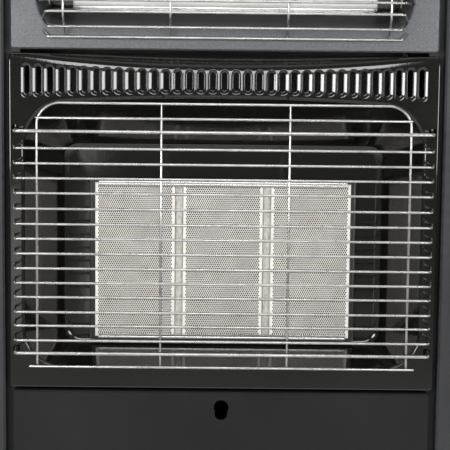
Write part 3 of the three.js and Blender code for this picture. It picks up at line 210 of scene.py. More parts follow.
def fibre():
    """Pressed mineral fibre, its strands longer upwards."""
    made = Nodes("pressed mineral fibre", (0.4, 0.385, 0.35), 0.95)
    strands = made.noise(420, 5, (1, 1, 0.45), 0.7)
    made.color(strands, (0.27, 0.262, 0.243), (0.5, 0.49, 0.46), 0.32, 0.66)
    made.bump(made.noise(900, 4, (1, 1, 0.4)), 0.35)
    return made.material


def brushed(name, color, roughness, stretch, depth=0.02):
    """Metal with fine lines along the axis of the smallest stretch."""
    made = Nodes(name, color, roughness, 1.0)
    dark = tuple(0.84 * part for part in color)
    made.color(made.noise(350, 4, stretch), dark, color, 0.35, 0.65)
    made.rough(made.noise(500, 3, stretch), roughness * 0.75, roughness * 1.3)
    made.bump(made.noise(900, 2, stretch), depth)
    return made.material


def moulded(name, color, roughness=0.45, grain=0.04):
    """Injection-moulded plastic with a spark-eroded grain."""
    made = Nodes(name, color, roughness)
    light = tuple(min(1.0, 1.25 * part + 0.002) for part in color)
    made.color(made.noise(22, 3), color, light)
    made.rough(made.noise(80, 3), roughness - 0.07, roughness + 0.07)
    made.bump(made.cells(1500), grain)
    return made.material


def galvanised():
    """Zinc-coated sheet with its spangle."""
    made = Nodes("galvanised sheet", (0.42, 0.43, 0.44), 0.4, 1.0)
    made.color(made.cells(85), (0.34, 0.35, 0.36), (0.5, 0.51, 0.52), 0.1, 0.7)
    made.rough(made.cells(85), 0.32, 0.5, 0.1, 0.7)
    return made.material


def rubber():
    """Dusty black tread."""
    made = Nodes("castor rubber", (0.022, 0.022, 0.024), 0.7)
    made.color(made.noise(90, 4), (0.017, 0.017, 0.018), (0.034, 0.033, 0.033))
    made.rough(made.noise(160, 3), 0.6, 0.82)
    made.bump(made.noise(1400, 2), 0.06)
    return made.material


def milky_quartz():
    """A quartz tube's white wall, streaked along the tube."""
    made = Nodes("milky quartz", (0.62, 0.62, 0.61), 0.22, Coat_Weight=0.6)
    made.color(made.noise(240, 3, (0.08, 1, 1)), (0.5, 0.5, 0.49), (0.68, 0.68, 0.67))
    made.rough(made.noise(90, 2), 0.18, 0.32)
    return made.material


CHARCOAL = powder_coat("charcoal powder coat", (0.0125, 0.0125, 0.0129), (0.0168, 0.0168, 0.0173), 0.6, 0.06)
HEATED = powder_coat("heat-darkened steel", (0.02, 0.019, 0.018), (0.05, 0.046, 0.042), 0.6)
SIDE_GREY = powder_coat("dark grey paint", (0.0255, 0.026, 0.0276), (0.033, 0.0337, 0.0355), 0.45, 0.18)
METALLIC = metallic_paint()
ENAMEL = enamel()
BURNER_WIRE = plated_wire("bright nickel plate", 0.1845)
ELEMENT_WIRE = plated_wire("bright nickel plate two", 0.163)
CERAMIC = ceramic()
# painted shade down the plaques' holes
HOLE_PAINTED_SHADE = powder_coat("painted shade in burner holes", (0.008, 0.0078, 0.007), (0.02, 0.018, 0.016), 0.9)
FIBRE = fibre()
ALUMINIUM = brushed("polished aluminium", (0.66, 0.66, 0.65), 0.15, (0.04, 1, 1), 0.015)
STEEL = brushed("drawn steel", (0.5, 0.5, 0.49), 0.32, (0.2, 1, 1))
STRIP_STEEL = brushed("stainless strip", (0.62, 0.62, 0.6), 0.24, (0.05, 1, 1))
BRASS = brushed("dulled brass", (0.3, 0.225, 0.11), 0.42, (1, 1, 0.2))
TINTED_STEEL = brushed("heat-tinted steel", (0.16, 0.155, 0.15), 0.3, (1, 0.2, 1), 0.03)
TUBE_STEEL = brushed("phosphated tube", (0.05, 0.048, 0.045), 0.5, (1, 1, 0.2))
BLACK_PLASTIC = moulded("black plastic", (0.014, 0.014, 0.0145))
PRINT = moulded("pale print", (0.5, 0.5, 0.49), 0.5, 0.01)
RED_PLASTIC = moulded("red plastic", (0.42, 0.018, 0.012), 0.3, 0.015)
GALVANISED = galvanised()
RUBBER = rubber()
QUARTZ = milky_quartz()
BURNER_BLACK = powder_coat("burner black", (0.011, 0.011, 0.011), (0.018, 0.018, 0.017), 0.34)

# ---------------------------------------------------------------- mesh helpers

WIRE_SIDES = 14
SOFT_END = [(0.0, 0.6), (0.25, 0.87), (0.55, 1.0)]  # (depth, reach) of a wire's end, over its radius
CUT_END = [(0.0, 1.0)]
WELD_RADIUS = 1.05
WELD_WIDTH = 1.5  # a weld's half width over its half height
WELD_SINK = 0.1  # a weld's middle lies this far inside the bar's back


class Build:
    """Points and faces gathered for one mesh."""

    def __init__(self):
        self.points = []
        self.faces = []

    def add(self, points):
        """Adds points and returns their numbers."""
        first = len(self.points)
        self.points.extend(tuple(float(v) for v in p) for p in points)
        return list(range(first, len(self.points)))

    def skin(self, loops, closed=True, flip=False):
        """Quads between successive loops of point numbers."""
        for a, b in zip(loops, loops[1:]):
            count = len(a)
            for i in range(count if closed else count - 1):
                j = (i + 1) % count
                quad = (a[i], a[j], b[j], b[i])
                self.faces.append(quad[::-1] if flip else quad)

    def cap(self, loop, flip=False):
        self.faces.append(tuple(loop[::-1] if flip else loop))


def add_mesh(name, build, material, replaced=None, sharp=40, normals=None, origin=ORIGIN):
    """A mesh object that rides on the cabinet; origin is where the build's millimetres start."""
    points = np.array(build.points) / 1000 + origin
    mesh = bpy.data.meshes.new(name)
    mesh.from_pydata(points.tolist(), [], build.faces)
    mesh.validate()
    mesh.update()
    mesh.polygons.foreach_set("use_smooth", [True] * len(mesh.polygons))
    mesh.set_sharp_from_angle(angle=math.radians(sharp))
    if normals:
        mesh.normals_split_custom_set([tuple(normals[loop.vertex_index]) for loop in mesh.loops])
    mesh.materials.append(material)
    made = bpy.data.objects.new(name, mesh)
    bpy.context.scene.collection.objects.link(made)
    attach(made, "cabinet")
    if replaced:
        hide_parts(replaced)
    return made


def arc(start, end, count):
    """The ends and the places between them of count equal steps."""
    return np.linspace(start, end, count + 1)


def full_turn(count):
    """The angles of count equal steps round a circle."""
    return np.linspace(0, 2 * math.pi, count, endpoint=False)


def rounded_rectangle(half, bottom, top, radius, corner, across, up):
    """A closed loop of (x, z), anticlockwise, with set counts of steps on corners and sides."""
    centres = [
        (half - radius, bottom + radius, -90),
        (half - radius, top - radius, 0),
        (-half + radius, top - radius, 90),
        (-half + radius, bottom + radius, 180),
    ]
    points = []
    for i, (cx, cz, start) in enumerate(centres):
        angles = np.radians(arc(start, start + 90, corner))
        here = np.stack([cx + radius * np.cos(angles), cz + radius * np.sin(angles)], -1)
        points.extend(here)
        nx, nz, turn = centres[(i + 1) % 4]
        turn = math.radians(turn)
        after = np.array([nx + radius * math.cos(turn), nz + radius * math.sin(turn)])
        steps = up if i % 2 == 0 else across
        for share in arc(0, 1, steps)[1:-1]:
            points.append(here[-1] * (1 - share) + after * share)
    return np.array(points)


def obround(x, bottom, top, half, corner=12, up=5):
    """A closed upright slot outline of (x, z), anticlockwise."""
    upper = np.radians(arc(0, 180, corner))
    lower = np.radians(arc(180, 360, corner))
    high, low = top - half, bottom + half
    points = [(x + half * math.cos(a), high + half * math.sin(a)) for a in upper]
    points += [(x - half, high + (low - high) * s) for s in arc(0, 1, up)[1:-1]]
    points += [(x + half * math.cos(a), low + half * math.sin(a)) for a in lower]
    points += [(x + half, low + (high - low) * s) for s in arc(0, 1, up)[1:-1]]
    return np.array(points)


def smooth_path(points, radius, steps=8):
    """A path with its corners turned into arcs of one radius, or of a list of radii."""
    points = [Vector(p) for p in points]
    radii = radius if isinstance(radius, list) else [radius] * (len(points) - 2)
    out = [points[0]]
    for before, here, after, r in zip(points, points[1:], points[2:], radii):
        a = (before - here).normalized()
        b = (after - here).normalized()
        half = a.angle(b) / 2
        reach = r / math.tan(half)
        centre = here + (a + b).normalized() * (r / math.sin(half))
        start, end = here + a * reach - centre, here + b * reach - centre
        turn = start.angle(end)
        for i in range(steps + 1):
            s = i / steps
            first = math.sin((1 - s) * turn) / math.sin(turn)
            second = math.sin(s * turn) / math.sin(turn)
            out.append(centre + start * first + end * second)
    out.append(points[-1])
    return out


def add_tube(build, path, radius, sides=WIRE_SIDES, ends=SOFT_END):
    """A round wire or tube along a path."""
    path = [Vector(p) for p in path]
    ahead = (path[1] - path[0]).normalized()
    up = ahead.orthogonal().normalized()
    stations = []
    for i, point in enumerate(path):
        into = (point - path[i - 1]).normalized() if i else ahead
        out = (path[i + 1] - point).normalized() if i < len(path) - 1 else into
        tangent = (into + out).normalized()
        up = (up - tangent * up.dot(tangent)).normalized()
        stations.append((point, tangent, up, tangent.cross(up)))

    def ring(point, up, side, r):
        return build.add([point + (up * math.cos(a) + side * math.sin(a)) * r for a in full_turn(sides)])

    point, tangent, up, side = stations[0]
    rings = [ring(point + tangent * depth * radius, up, side, radius * reach) for depth, reach in ends]
    rings += [ring(point, up, side, radius) for point, _, up, side in stations[1:-1]]
    point, tangent, up, side = stations[-1]
    rings += [ring(point - tangent * depth * radius, up, side, radius * reach)
              for depth, reach in ends[::-1]]
    build.skin(rings)
    build.cap(rings[0], flip=True)
    build.cap(rings[-1])


def add_weld(build, x, bar_back, z):
    """A small flattened bead where an upright is resistance welded to the back of a bar."""
    rings = []
    for angle in np.radians((-60, -20, 20, 60)):
        y = bar_back - WELD_SINK + WELD_RADIUS * 0.75 * math.sin(angle)
        reach = WELD_RADIUS * math.cos(angle)
        rings.append(build.add([(x + WELD_WIDTH * reach * math.cos(t), y, z - reach * math.sin(t))
                                for t in full_turn(8)]))
    build.skin(rings)
    build.cap(rings[0], flip=True)
    build.cap(rings[-1])


# ---------------------------------------------------------------- enamelled fascia

SHEET = 1.2
FOLD_DEPTH = 14.7
EDGE_ROLL = 1.5
FASCIA_CORNER = 3.5
EDGE_STEPS = (8, 90, 40)  # on a corner, across and up

RIDGE_DROP = 14.4  # fascia's top to the brow's ridge in the middle
RIDGE_RISE = 12.5  # the ridge is this much higher at the fascia's sides
WEDGE_SLOPE = 8 / RIDGE_DROP  # the brow leans back 8 mm at its top in the middle
CREST = 4.0  # the ridge is rounded this far to either side

LOUVRE_PITCH = 10.45
LOUVRE_COUNT = 17  # on each side of the middle one
LOUVRE_HALF = 2.3
LOUVRE_BOTTOM, LOUVRE_TOP = 32.2, 16.2  # below the fascia's top, for the middle one
LOUVRE_END_DROP, LOUVRE_END_RISE = 4.8, 4.2  # the end ones reach this much lower and higher
LOUVRE_STRETCH = 0.3  # a louvre's lower flank is this much longer
RIB_HALF = 2.9  # width of the pressed flank round a slot
RIB_CLEAR, RIB_CLEAR_LOW = 3.1, 4.5  # no extra points of the front plate this near a slot, or below it
RIB_LEAN = 0.42  # the flank that faces the middle is this much wider, the other one narrower
RIB_LEAN_LOUVRES = 7  # the lean grows over this many louvres
LOUVRE_PROFILE = [  # (reach beyond the slot, depth) from the front to the rolled inner edge
    (RIB_HALF, 0), (2.8, 0.01), (2.65, 0.04), (2.4, 0.12), (2.05, 0.32), (1.5, 0.66), (1.0, 0.97),
    (0.72, 1.13), (0.58, 1.16), (0.44, 1.14), (0.3, 1.2), (0.2, 1.45), (0.16, 2.2), (0.14, 3.2),
    (0.12, 4.4), (0.08, 5.3), (-0.05, 5.6),
]
RIDGE_ROWS = (-CREST, -0.65, 0.0, 0.65, CREST, 3.5, 6.5, 9.5, 12.0)  # heights over the ridge

HOOK_X, HOOK_RADIUS = 188.5, 3.2
HOOK_HOLES = [(x, z) for x in (-HOOK_X, HOOK_X) for z in (-116.9, 85.2)]
HOOK_PROFILE = [(0.4, 0), (0.15, 0.07), (0.02, 0.3), (0, 0.5), (0, SHEET)]  # (reach beyond the hole, depth)

# the bowl's mouth and its flat back: half width, bottom, top and corner radius
MOUTH = np.array([182.0, -133.4, 115.2, 36.0])
BACK = np.array([146.8, -118.9, 67.2, 14.0])
BOWL_DEPTH = 50.0
BOWL_STEPS = (16, 44, 26)  # on a corner, across and up
BACK_EDGE = 5.0  # width of the flat rim round the window
WINDOW_GAP = 0.6  # round the burner housing
MOUTH_ROLL = 1.6
MOUTH_BOW, MOUTH_BOW_X = 5.6, 152  # the mouth's upper edge sinks by this at this x
MOUTH_BOW_LOW, MOUTH_BOW_SPAN = 40, 60  # the bow starts at this height and is full this much higher


def ridge(x):
    return HALF_H - RIDGE_DROP + RIDGE_RISE * np.minimum((x / HALF_W) ** 2, 1.1)


def lean(x, z):
    """How far the brow leans back at a place of the front face."""
    over = z - ridge(x)
    soft = WEDGE_SLOPE * (over + CREST) ** 2 / (4 * CREST)
    return np.where(over > CREST, WEDGE_SLOPE * over, np.where(over < -CREST, 0.0, soft))


def leaning(flat, depth):
    """A loop of (x, z) at a depth behind the front face, as (x, y, z)."""
    return np.stack([flat[:, 0], depth + lean(flat[:, 0], flat[:, 1]), flat[:, 1]], -1)


def front_normal(x, z):
    step = 0.02
    gx = (lean(x + step, z) - lean(x - step, z)) / (2 * step)
    gz = (lean(x, z + step) - lean(x, z - step)) / (2 * step)
    n = np.array([gx, -1.0, gz])
    return n / np.linalg.norm(n)


def bowed(loop, amount):
    """Lowers a mouth loop's upper edge towards its ends."""
    out = loop.copy()
    share = np.clip((loop[:, 1] - MOUTH_BOW_LOW) / MOUTH_BOW_SPAN, 0, 1)
    eased = share * share * (3 - 2 * share)
    out[:, 1] -= amount * MOUTH_BOW * eased * (loop[:, 0] / MOUTH_BOW_X) ** 2
    return out


def bowl_loop(share, grow=0.0):
    """The bowl's outline at a share of its depth."""
    half, bottom, top, radius = MOUTH + (BACK - MOUTH) * share + np.array([1, -1, 1, 1]) * grow
    flat = bowed(rounded_rectangle(half, bottom, top, radius, *BOWL_STEPS), 1 - share)
    return np.insert(flat, 1, share * BOWL_DEPTH, axis=1)


def bezier(a, b, c, steps):
    return [(1 - t) ** 2 * a + 2 * t * (1 - t) * b + t * t * c for t in arc(0, 1, steps)]


def inside(polygon, points):
    """Which points lie inside a closed outline, by crossings."""
    x, z = points[:, 0][:, None], points[:, 1][:, None]
    ax, az = polygon[:, 0][None], polygon[:, 1][None]
    bx, bz = np.roll(polygon[:, 0], -1)[None], np.roll(polygon[:, 1], -1)[None]
    spans = (az > z) != (bz > z)
    with np.errstate(divide="ignore", invalid="ignore"):
        crossing = ax + (z - az) * (bx - ax) / (bz - az)
    return (spans & (x < crossing)).sum(1) % 2 == 1


def louvres():
    """Each louvre's middle, bottom, top and sideways lean, from the left."""
    for i in range(-LOUVRE_COUNT, LOUVRE_COUNT + 1):
        share = (i / LOUVRE_COUNT) ** 2
        bottom = HALF_H - LOUVRE_BOTTOM - LOUVRE_END_DROP * share
        top = HALF_H - LOUVRE_TOP + LOUVRE_END_RISE * share
        lean_share = min(max(abs(i) - 1, 0) / RIB_LEAN_LOUVRES, 1)
        yield i * LOUVRE_PITCH, bottom, top, RIB_LEAN * math.copysign(lean_share, i)


def add_fold(build):
    """The outer fold and its rolled edge. Each of these four returns its borders on the front plate."""
    stations = [(0, FOLD_DEPTH), (0, 8.0), (0, EDGE_ROLL + 0.6)]
    stations += [(EDGE_ROLL * (1 - math.cos(a)), EDGE_ROLL * (1 - math.sin(a)))
                 for a in np.radians(arc(0, 90, 7))]
    loops = []
    for inset, depth in stations:
        flat = rounded_rectangle(HALF_W - inset, -HALF_H + inset, HALF_H - inset, FASCIA_CORNER - inset,
                                 *EDGE_STEPS)
        fading = 1 - min(depth, 10) / FOLD_DEPTH  # the lean is less towards the back
        depths = depth + lean(flat[:, 0], flat[:, 1]) * fading
        loops.append(build.add(np.stack([flat[:, 0], depths, flat[:, 1]], -1)))
    build.skin(loops)
    return [loops[-1]]


def add_bowl(build):
    """The bowl, from its rolled mouth to the window that the burner housing shows through."""
    mouth = bezier(bowl_loop(0, MOUTH_ROLL), bowl_loop(0), bowl_loop(0.05), 9)
    walls = [bowl_loop(share) for share in (0.2, 0.4, 0.6, 0.8)]
    floor = bezier(bowl_loop(0.9), bowl_loop(1.0), bowl_loop(1.0, -BACK_EDGE), 9)
    low, high = local_box("burner_housing")
    window = rounded_rectangle(high[0] + WINDOW_GAP, low[2] - WINDOW_GAP, high[2] + WINDOW_GAP, 1.0,
                               *BOWL_STEPS)
    edge = [np.insert(window, 1, y, axis=1) for y in (BOWL_DEPTH, BOWL_DEPTH + SHEET)]
    loops = [build.add(loop) for loop in [*mouth, *walls, *floor, *edge]]
    build.skin(loops)
    return [loops[0]]


def add_louvres(build):
    """The louvres' pressed flanks, and their slots."""
    borders = []
    for middle, bottom, top, away in louvres():
        stack = []
        for out, depth in LOUVRE_PROFILE:
            flat = obround(middle + away * out, bottom - out, top + out, LOUVRE_HALF + out)
            low = np.clip((bottom + LOUVRE_HALF - flat[:, 1]) / LOUVRE_HALF, 0, 1)
            flat[:, 1] -= low * out * LOUVRE_STRETCH
            stack.append(build.add(leaning(flat, depth)))
        build.skin(stack)
        borders.append(stack[0])
    return borders


def add_hook_holes(build):
    """The holes that the guard's hooks go through, with softened edges."""
    borders = []
    for x, z in HOOK_HOLES:
        stack = []
        for out, depth in HOOK_PROFILE:
            radius = HOOK_RADIUS + out
            flat = obround(x, z - radius, z + radius, radius - 0.01, 12, 2)
            stack.append(build.add(np.insert(flat, 1, depth, axis=1)))
        build.skin(stack)
        borders.append(stack[0])
    return borders


def brow_points():
    """Points of the front plate along the ridge, clear of the louvres."""
    points = []
    for over in RIDGE_ROWS:
        xs = np.arange(-HALF_W + 3, HALF_W - 2.9, 2.0)
        points += [(x, ridge(x) + over) for x in xs if ridge(x) + over < HALF_H - EDGE_ROLL - 0.5]
    points = np.array(points)
    keep = np.ones(len(points), bool)
    for middle, bottom, top, away in louvres():
        clear = obround(middle + away * RIB_HALF, bottom - RIB_CLEAR_LOW, top + RIB_CLEAR,
                        LOUVRE_HALF + RIB_CLEAR)
        keep &= ~inside(clear, points)
    return points[keep]


def add_front(build, borders):
    """Fills the front plate between its borders and returns the numbers of its points."""
    numbers = [n for loop in borders for n in loop]
    flats = [Vector((build.points[n][0], build.points[n][2])) for n in numbers]
    outlines = [np.array([(build.points[n][0], build.points[n][2]) for n in loop]) for loop in borders]
    edges = []
    start = 0
    for loop in borders:
        count = len(loop)
        edges += [(start + k, start + (k + 1) % count) for k in range(count)]
        start += count
    extra = brow_points()
    flats += [Vector(p) for p in extra]
    points, _, triangles, sources, _, _ = delaunay_2d_cdt(flats, edges, [], 0, 1e-5, True)
    numbers += build.add([(x, float(lean(x, z)), z) for x, z in extra])
    where = []
    for point, source in zip(points, sources):
        if source:
            where.append(numbers[source[0]])
        else:
            where += build.add([(point.x, float(lean(point.x, point.y)), point.y)])
    middles = np.array([sum((points[i] for i in t), Vector((0, 0))) / len(t) for t in triangles])
    wanted = inside(outlines[0], middles)
    for outline in outlines[1:]:
        wanted &= ~inside(outline, middles)
    build.faces += [tuple(where[i] for i in t) for t, use in zip(triangles, wanted) if use]
    return {*numbers, *where}


def build_fascia():
    build = Build()
    borders = [*add_fold(build), *add_bowl(build), *add_louvres(build), *add_hook_holes(build)]
    front = add_front(build, borders)
    normals = [front_normal(x, z) if i in front else (0, 0, 0) for i, (x, _, z) in enumerate(build.points)]
    add_mesh("enamelled_fascia", build, ENAMEL, "burner_fascia", 60, normals)


# ---------------------------------------------------------------- burner

PLAQUE_PITCH = 1.83  # the least pitch across; the holes spread to fill the plaque
ROW_PITCH = 0.985  # over the pitch across
HOLE_REACH = 0.46  # a hole's radius over the pitch across
HOLE_DEPTH = 3.2
PLAQUE_EDGE_X, PLAQUE_EDGE_Z, PLAQUE_BEVEL = 2.4, 3.0, 0.5
VENTURI_DROP, VENTURI_RADIUS = 14.0, 10  # the tubes below the housing's box
GASKET_CROWN, GASKET_RAGGED = 0.9, 0.25


def build_plaque(node):
    """A plaque with its lattice of real holes, six-pointed and staggered by half a pitch."""
    low, high = local_box(node)
    width, height = high[0] - low[0], high[2] - low[2]
    across = int((width - 2 * PLAQUE_EDGE_X) / PLAQUE_PITCH)
    up = int((height - 2 * PLAQUE_EDGE_Z) / (PLAQUE_PITCH * ROW_PITCH))
    pitch_x = (width - 2 * PLAQUE_EDGE_X) / across
    pitch_z = (height - 2 * PLAQUE_EDGE_Z) / up
    left, foot, front = low[0] + PLAQUE_EDGE_X, low[2] + PLAQUE_EDGE_Z, low[1]
    hole = pitch_x * HOLE_REACH
    build = Build()
    inner = []
    corners = {}  # numbers of the cells' corners, by half column and row

    def corner(key):
        if key not in corners:
            corners[key] = build.add([(left + key[0] / 2 * pitch_x, front, foot + key[1] * pitch_z)])[0]
        return corners[key]

    for row in range(up):
        odd = row % 2
        for column in range(across - odd):
            start = 2 * column + odd
            steps = ((0, 0), (1, 0), (2, 0), (2, 1), (1, 1), (0, 1))
            cell = [corner((start + dx, row + dz)) for dx, dz in steps]
            cx, cz = left + (start + 1) / 2 * pitch_x, foot + (row + 0.5) * pitch_z
            mouth = [(cx + hole * math.cos(a), front, cz + hole * math.sin(a))
                     for a in np.radians([225, 270, 315, 45, 90, 135])]
            rim = build.add(mouth)
            end = build.add([(x, front + HOLE_DEPTH, z) for x, _, z in mouth])
            build.skin([cell, rim])
            first = len(build.faces)
            build.skin([rim, end])
            build.cap(end)
            inner.extend(range(first, len(build.faces)))
        if odd:  # a half cell without a hole closes the row at either end
            for start in (0, 2 * across - 1):
                keys = ((start, row), (start + 1, row), (start + 1, row + 1), (start, row + 1))
                build.cap([corner(key) for key in keys])

    between = [key for key in sorted(corners) if 0 < key[1] < up]  # neither in the foot's row nor the top's
    outline = [key for key in sorted(corners) if key[1] == 0]
    outline += [key for key in between if key[0] == 2 * across]
    outline += [key for key in sorted(corners, reverse=True) if key[1] == up]
    outline += [key for key in between[::-1] if key[0] == 0]
    loops = [[corners[key] for key in outline]]
    levels = ((PLAQUE_EDGE_X - PLAQUE_BEVEL, front), (PLAQUE_EDGE_X, front + PLAQUE_BEVEL),
              (PLAQUE_EDGE_X, high[1]))
    for grow, y in levels:
        points = []
        for key in outline:
            x, _, z = build.points[corners[key]]
            way_x = (key[0] == 2 * across) - (key[0] == 0)
            way_z = (key[1] == up) - (key[1] == 0)
            points.append((x + grow * way_x, y, z + grow * PLAQUE_EDGE_Z / PLAQUE_EDGE_X * way_z))
        loops.append(build.add(points))
    build.skin(loops, flip=True)
    build.cap(loops[-1])
    made = add_mesh("ceramic_" + node, build, CERAMIC, node, 30)
    made.data.materials.append(HOLE_PAINTED_SHADE)
    # painted shade: the holes' walls and closed ends take the near-black finish for the shade down the holes
    for number in inner:
        made.data.polygons[number].material_index = 1


def build_housing():
    """The burner's open box with a rolled rim and a stepped flange round the plaques."""
    low, high = local_box("burner_housing")
    half, bottom, top, front, back = high[0], low[2], high[2], low[1], high[1]
    foot = bottom + VENTURI_DROP
    profile = [(0, back), (0, front + 1.0), (0.3, front + 0.3), (1.0, front), (1.7, front + 0.3),
               (2.0, front + 1.0), (2.0, front + 1.7), (3.9, front + 1.7), (4.2, front + 2.4),
               (4.2, front + 14)]  # (inset, y)
    build = Build()
    loops = []
    for inset, y in profile:
        flat = rounded_rectangle(half - inset, foot + inset, top - inset, 3.0 - min(inset, 2.6), 6, 12, 12)
        loops.append(build.add(np.insert(flat, 1, y, axis=1)))
    build.skin(loops)
    build.cap(loops[0], flip=True)
    build.cap(loops[-1])
    for number in (1, 2, 3):
        plaque_low, plaque_high = local_box(f"plaque_{number}")
        x, y = (plaque_low[0] + plaque_high[0]) / 2, front + 30
        add_tube(build, [(x, y, foot + 3), (x, y, bottom)], VENTURI_RADIUS, 24, CUT_END)
    add_mesh("burner_case", build, BURNER_BLACK, "burner_housing", 35)


def build_gasket(node):
    """A fibre strip with a ragged, slightly crowned face."""
    low, high = local_box(node)
    rng = np.random.default_rng(int(abs(low[0])) + 3)
    rows, columns = 120, 8
    build = Build()
    grid = []
    for r in range(rows + 1):
        z = low[2] + (high[2] - low[2]) * r / rows
        line = []
        for c in range(columns + 1):
            share = c / columns
            x = low[0] + (high[0] - low[0]) * share
            crown = GASKET_CROWN * (2 * share - 1) ** 2
            ragged = GASKET_RAGGED * rng.random()
            line.append((x, low[1] + crown + ragged, z))
        grid.append(build.add(line))
    build.skin(grid, closed=False)
    add_mesh("fibre_" + node, build, FIBRE, node, 80)


def build_strip(node):
    """A pressed steel strip with a stiffening bead along it."""
    low, high = local_box(node)
    rise = high[2] - low[2]
    section = [(0, 1.5), (0, 0.4), (0.06, 0.1), (0.14, 0.0), (0.3, 0.0), (0.4, 0.35), (0.5, 0.45),
               (0.6, 0.35), (0.7, 0.0), (0.86, 0.0), (0.94, 0.1), (1, 0.4), (1, 1.5)]  # (share of rise, y)
    build = Build()
    loops = [build.add([(x, low[1] + y, low[2] + s * rise) for s, y in section]) for x in (low[0], high[0])]
    build.skin(loops, flip=True)
    build.cap(loops[0])
    build.cap(loops[1], flip=True)
    add_mesh("pressed_" + node, build, STRIP_STEEL, node, 30)


# ---------------------------------------------------------------- wire guards

BAR, HOOK_BAR, UPRIGHT, HOOP = 1.2, 1.6, 1.1, 1.2  # wire radii
PRESSED = 0.35  # crossing wires sink this far into each other

# the burner guard
STANDOFF = 30.0
BARS = [68.8, 55.3, 42.1, 28.8, 14.9, 1.2, -12.0, -25.3, -38.6, -51.7, -64.5, -78.1, -90.5, -103.9]
HOOK_BARS = ((-115.6, -1), (83.9, 1))  # height, and which way the hooks turn
HOOK_BEHIND, HOOK_LENGTH = 3.2, 6.5
BEND_X, FOOT_X, FOOT_Y = 186.0, 189.7, -0.35
BEND_RADIUS, HOOK_BEND_RADIUS = 4.2, 2.5
HOOP_X, HOOP_TOP, HOOP_FOOT, HOOP_RADIUS = 166.0, 108.9, -128.1, 20
TOP_BAR, TOP_BAR_HALF = 95.7, HOOP_X + 1.0
LOW_BAR, LOW_BAR_HALF = HOOP_FOOT + 0.6, 173.3
GUARD_UPRIGHTS = (-55.5, 58.5)

# the element guard: its sides from the fascia's, and its heights from its own middle
ELEMENT_SIDE, ELEMENT_BEND, ELEMENT_BEND_RADIUS = 26.0, 10.4, 3.4  # the bend is from the guard's side
ELEMENT_FRONT, ELEMENT_EDGE = -25.0, -2 * (BAR + UPRIGHT)  # depths of its face and of its outer bars
ELEMENT_SHOULDER, ELEMENT_OUTER = 25.0, 44.5  # its face is flat to its shoulders and leans back beyond
ELEMENT_INNER_BARS = (-12.3, 0, 12.3)
ELEMENT_INNER_FOOT = (2, 8.0)  # beyond the guard's side, and depth
ELEMENT_OUTER_BARS = [  # height; foot's reach beyond the guard's side, depth and height
    (ELEMENT_OUTER, -5.4, -1.5, 38.5), (35.5, -5.5, -0.9, 29), (22.5, -5.5, -0.9, 28.5),
]
ELEMENT_UPRIGHTS = (-0.85, -0.288, 0.33, 0.87)  # over the guard's half width


def build_burner_guard():
    build = Build()
    behind = -STANDOFF + BAR + UPRIGHT - PRESSED

    for z in BARS:
        path = [(-FOOT_X, FOOT_Y, z), (-BEND_X, -STANDOFF, z), (BEND_X, -STANDOFF, z), (FOOT_X, FOOT_Y, z)]
        add_tube(build, smooth_path(path, BEND_RADIUS), BAR)
    for z, turn in HOOK_BARS:
        end = z + turn * HOOK_LENGTH
        path = [(-HOOK_X, HOOK_BEHIND, end), (-HOOK_X, HOOK_BEHIND, z), (-BEND_X, -STANDOFF, z),
                (BEND_X, -STANDOFF, z), (HOOK_X, HOOK_BEHIND, z), (HOOK_X, HOOK_BEHIND, end)]
        radii = [HOOK_BEND_RADIUS, BEND_RADIUS, BEND_RADIUS, HOOK_BEND_RADIUS]
        add_tube(build, smooth_path(path, radii), HOOK_BAR)
    hoop = [(-HOOP_X, behind, HOOP_FOOT), (-HOOP_X, behind, HOOP_TOP), (HOOP_X, behind, HOOP_TOP),
            (HOOP_X, behind, HOOP_FOOT)]
    add_tube(build, smooth_path(hoop, HOOP_RADIUS, 16), HOOP)
    for x in GUARD_UPRIGHTS:
        add_tube(build, [(x, behind, HOOP_FOOT), (x, behind, HOOP_TOP)], UPRIGHT)
    for z, half in ((TOP_BAR, TOP_BAR_HALF), (LOW_BAR, LOW_BAR_HALF)):
        add_tube(build, [(-half, -STANDOFF, z), (half, -STANDOFF, z)], BAR)
    for x in (-HOOP_X, *GUARD_UPRIGHTS, HOOP_X):
        for z in (*BARS, *(z for z, _ in HOOK_BARS), TOP_BAR, LOW_BAR):
            add_weld(build, x, -STANDOFF + BAR, z)
    add_mesh("wire_guard", build, BURNER_WIRE, "burner_guard", 70)


def build_element_guard():
    build = Build()
    low, high = local_box("upper_fascia")
    middle = (low[2] + high[2]) / 2
    half = HALF_W - ELEMENT_SIDE
    bend = half - ELEMENT_BEND

    def depth(offset):
        lean_share = (abs(offset) - ELEMENT_SHOULDER) / (ELEMENT_OUTER - ELEMENT_SHOULDER)
        return ELEMENT_FRONT + (ELEMENT_EDGE - ELEMENT_FRONT) * max(lean_share, 0)

    def bar(offset, foot_reach, foot_y, foot):
        foot_x, y = half + foot_reach, depth(offset)
        path = [(-foot_x, foot_y, middle + foot), (-bend, y, middle + offset), (bend, y, middle + offset),
                (foot_x, foot_y, middle + foot)]
        add_tube(build, smooth_path(path, ELEMENT_BEND_RADIUS), BAR)

    for offset in ELEMENT_INNER_BARS:
        bar(offset, *ELEMENT_INNER_FOOT, offset)
    for side in (-1, 1):
        for offset, foot_reach, foot_y, foot in ELEMENT_OUTER_BARS:
            bar(side * offset, foot_reach, foot_y, side * foot)
    outer = [side * offset for offset, *_ in ELEMENT_OUTER_BARS for side in (-1, 1)]
    offsets = sorted([*ELEMENT_INNER_BARS, *outer])
    for share in ELEMENT_UPRIGHTS:
        x = share * half
        path = [(x, depth(offset) + BAR + UPRIGHT - PRESSED, middle + offset)
                for offset in (-ELEMENT_OUTER, -ELEMENT_SHOULDER, ELEMENT_SHOULDER, ELEMENT_OUTER)]
        add_tube(build, smooth_path(path, 4), UPRIGHT)
        for offset in offsets:
            add_weld(build, x, depth(offset) + BAR, middle + offset)
    add_mesh("element_wires", build, ELEMENT_WIRE, "element_guard", 70)


# ---------------------------------------------------------------- marks and screws

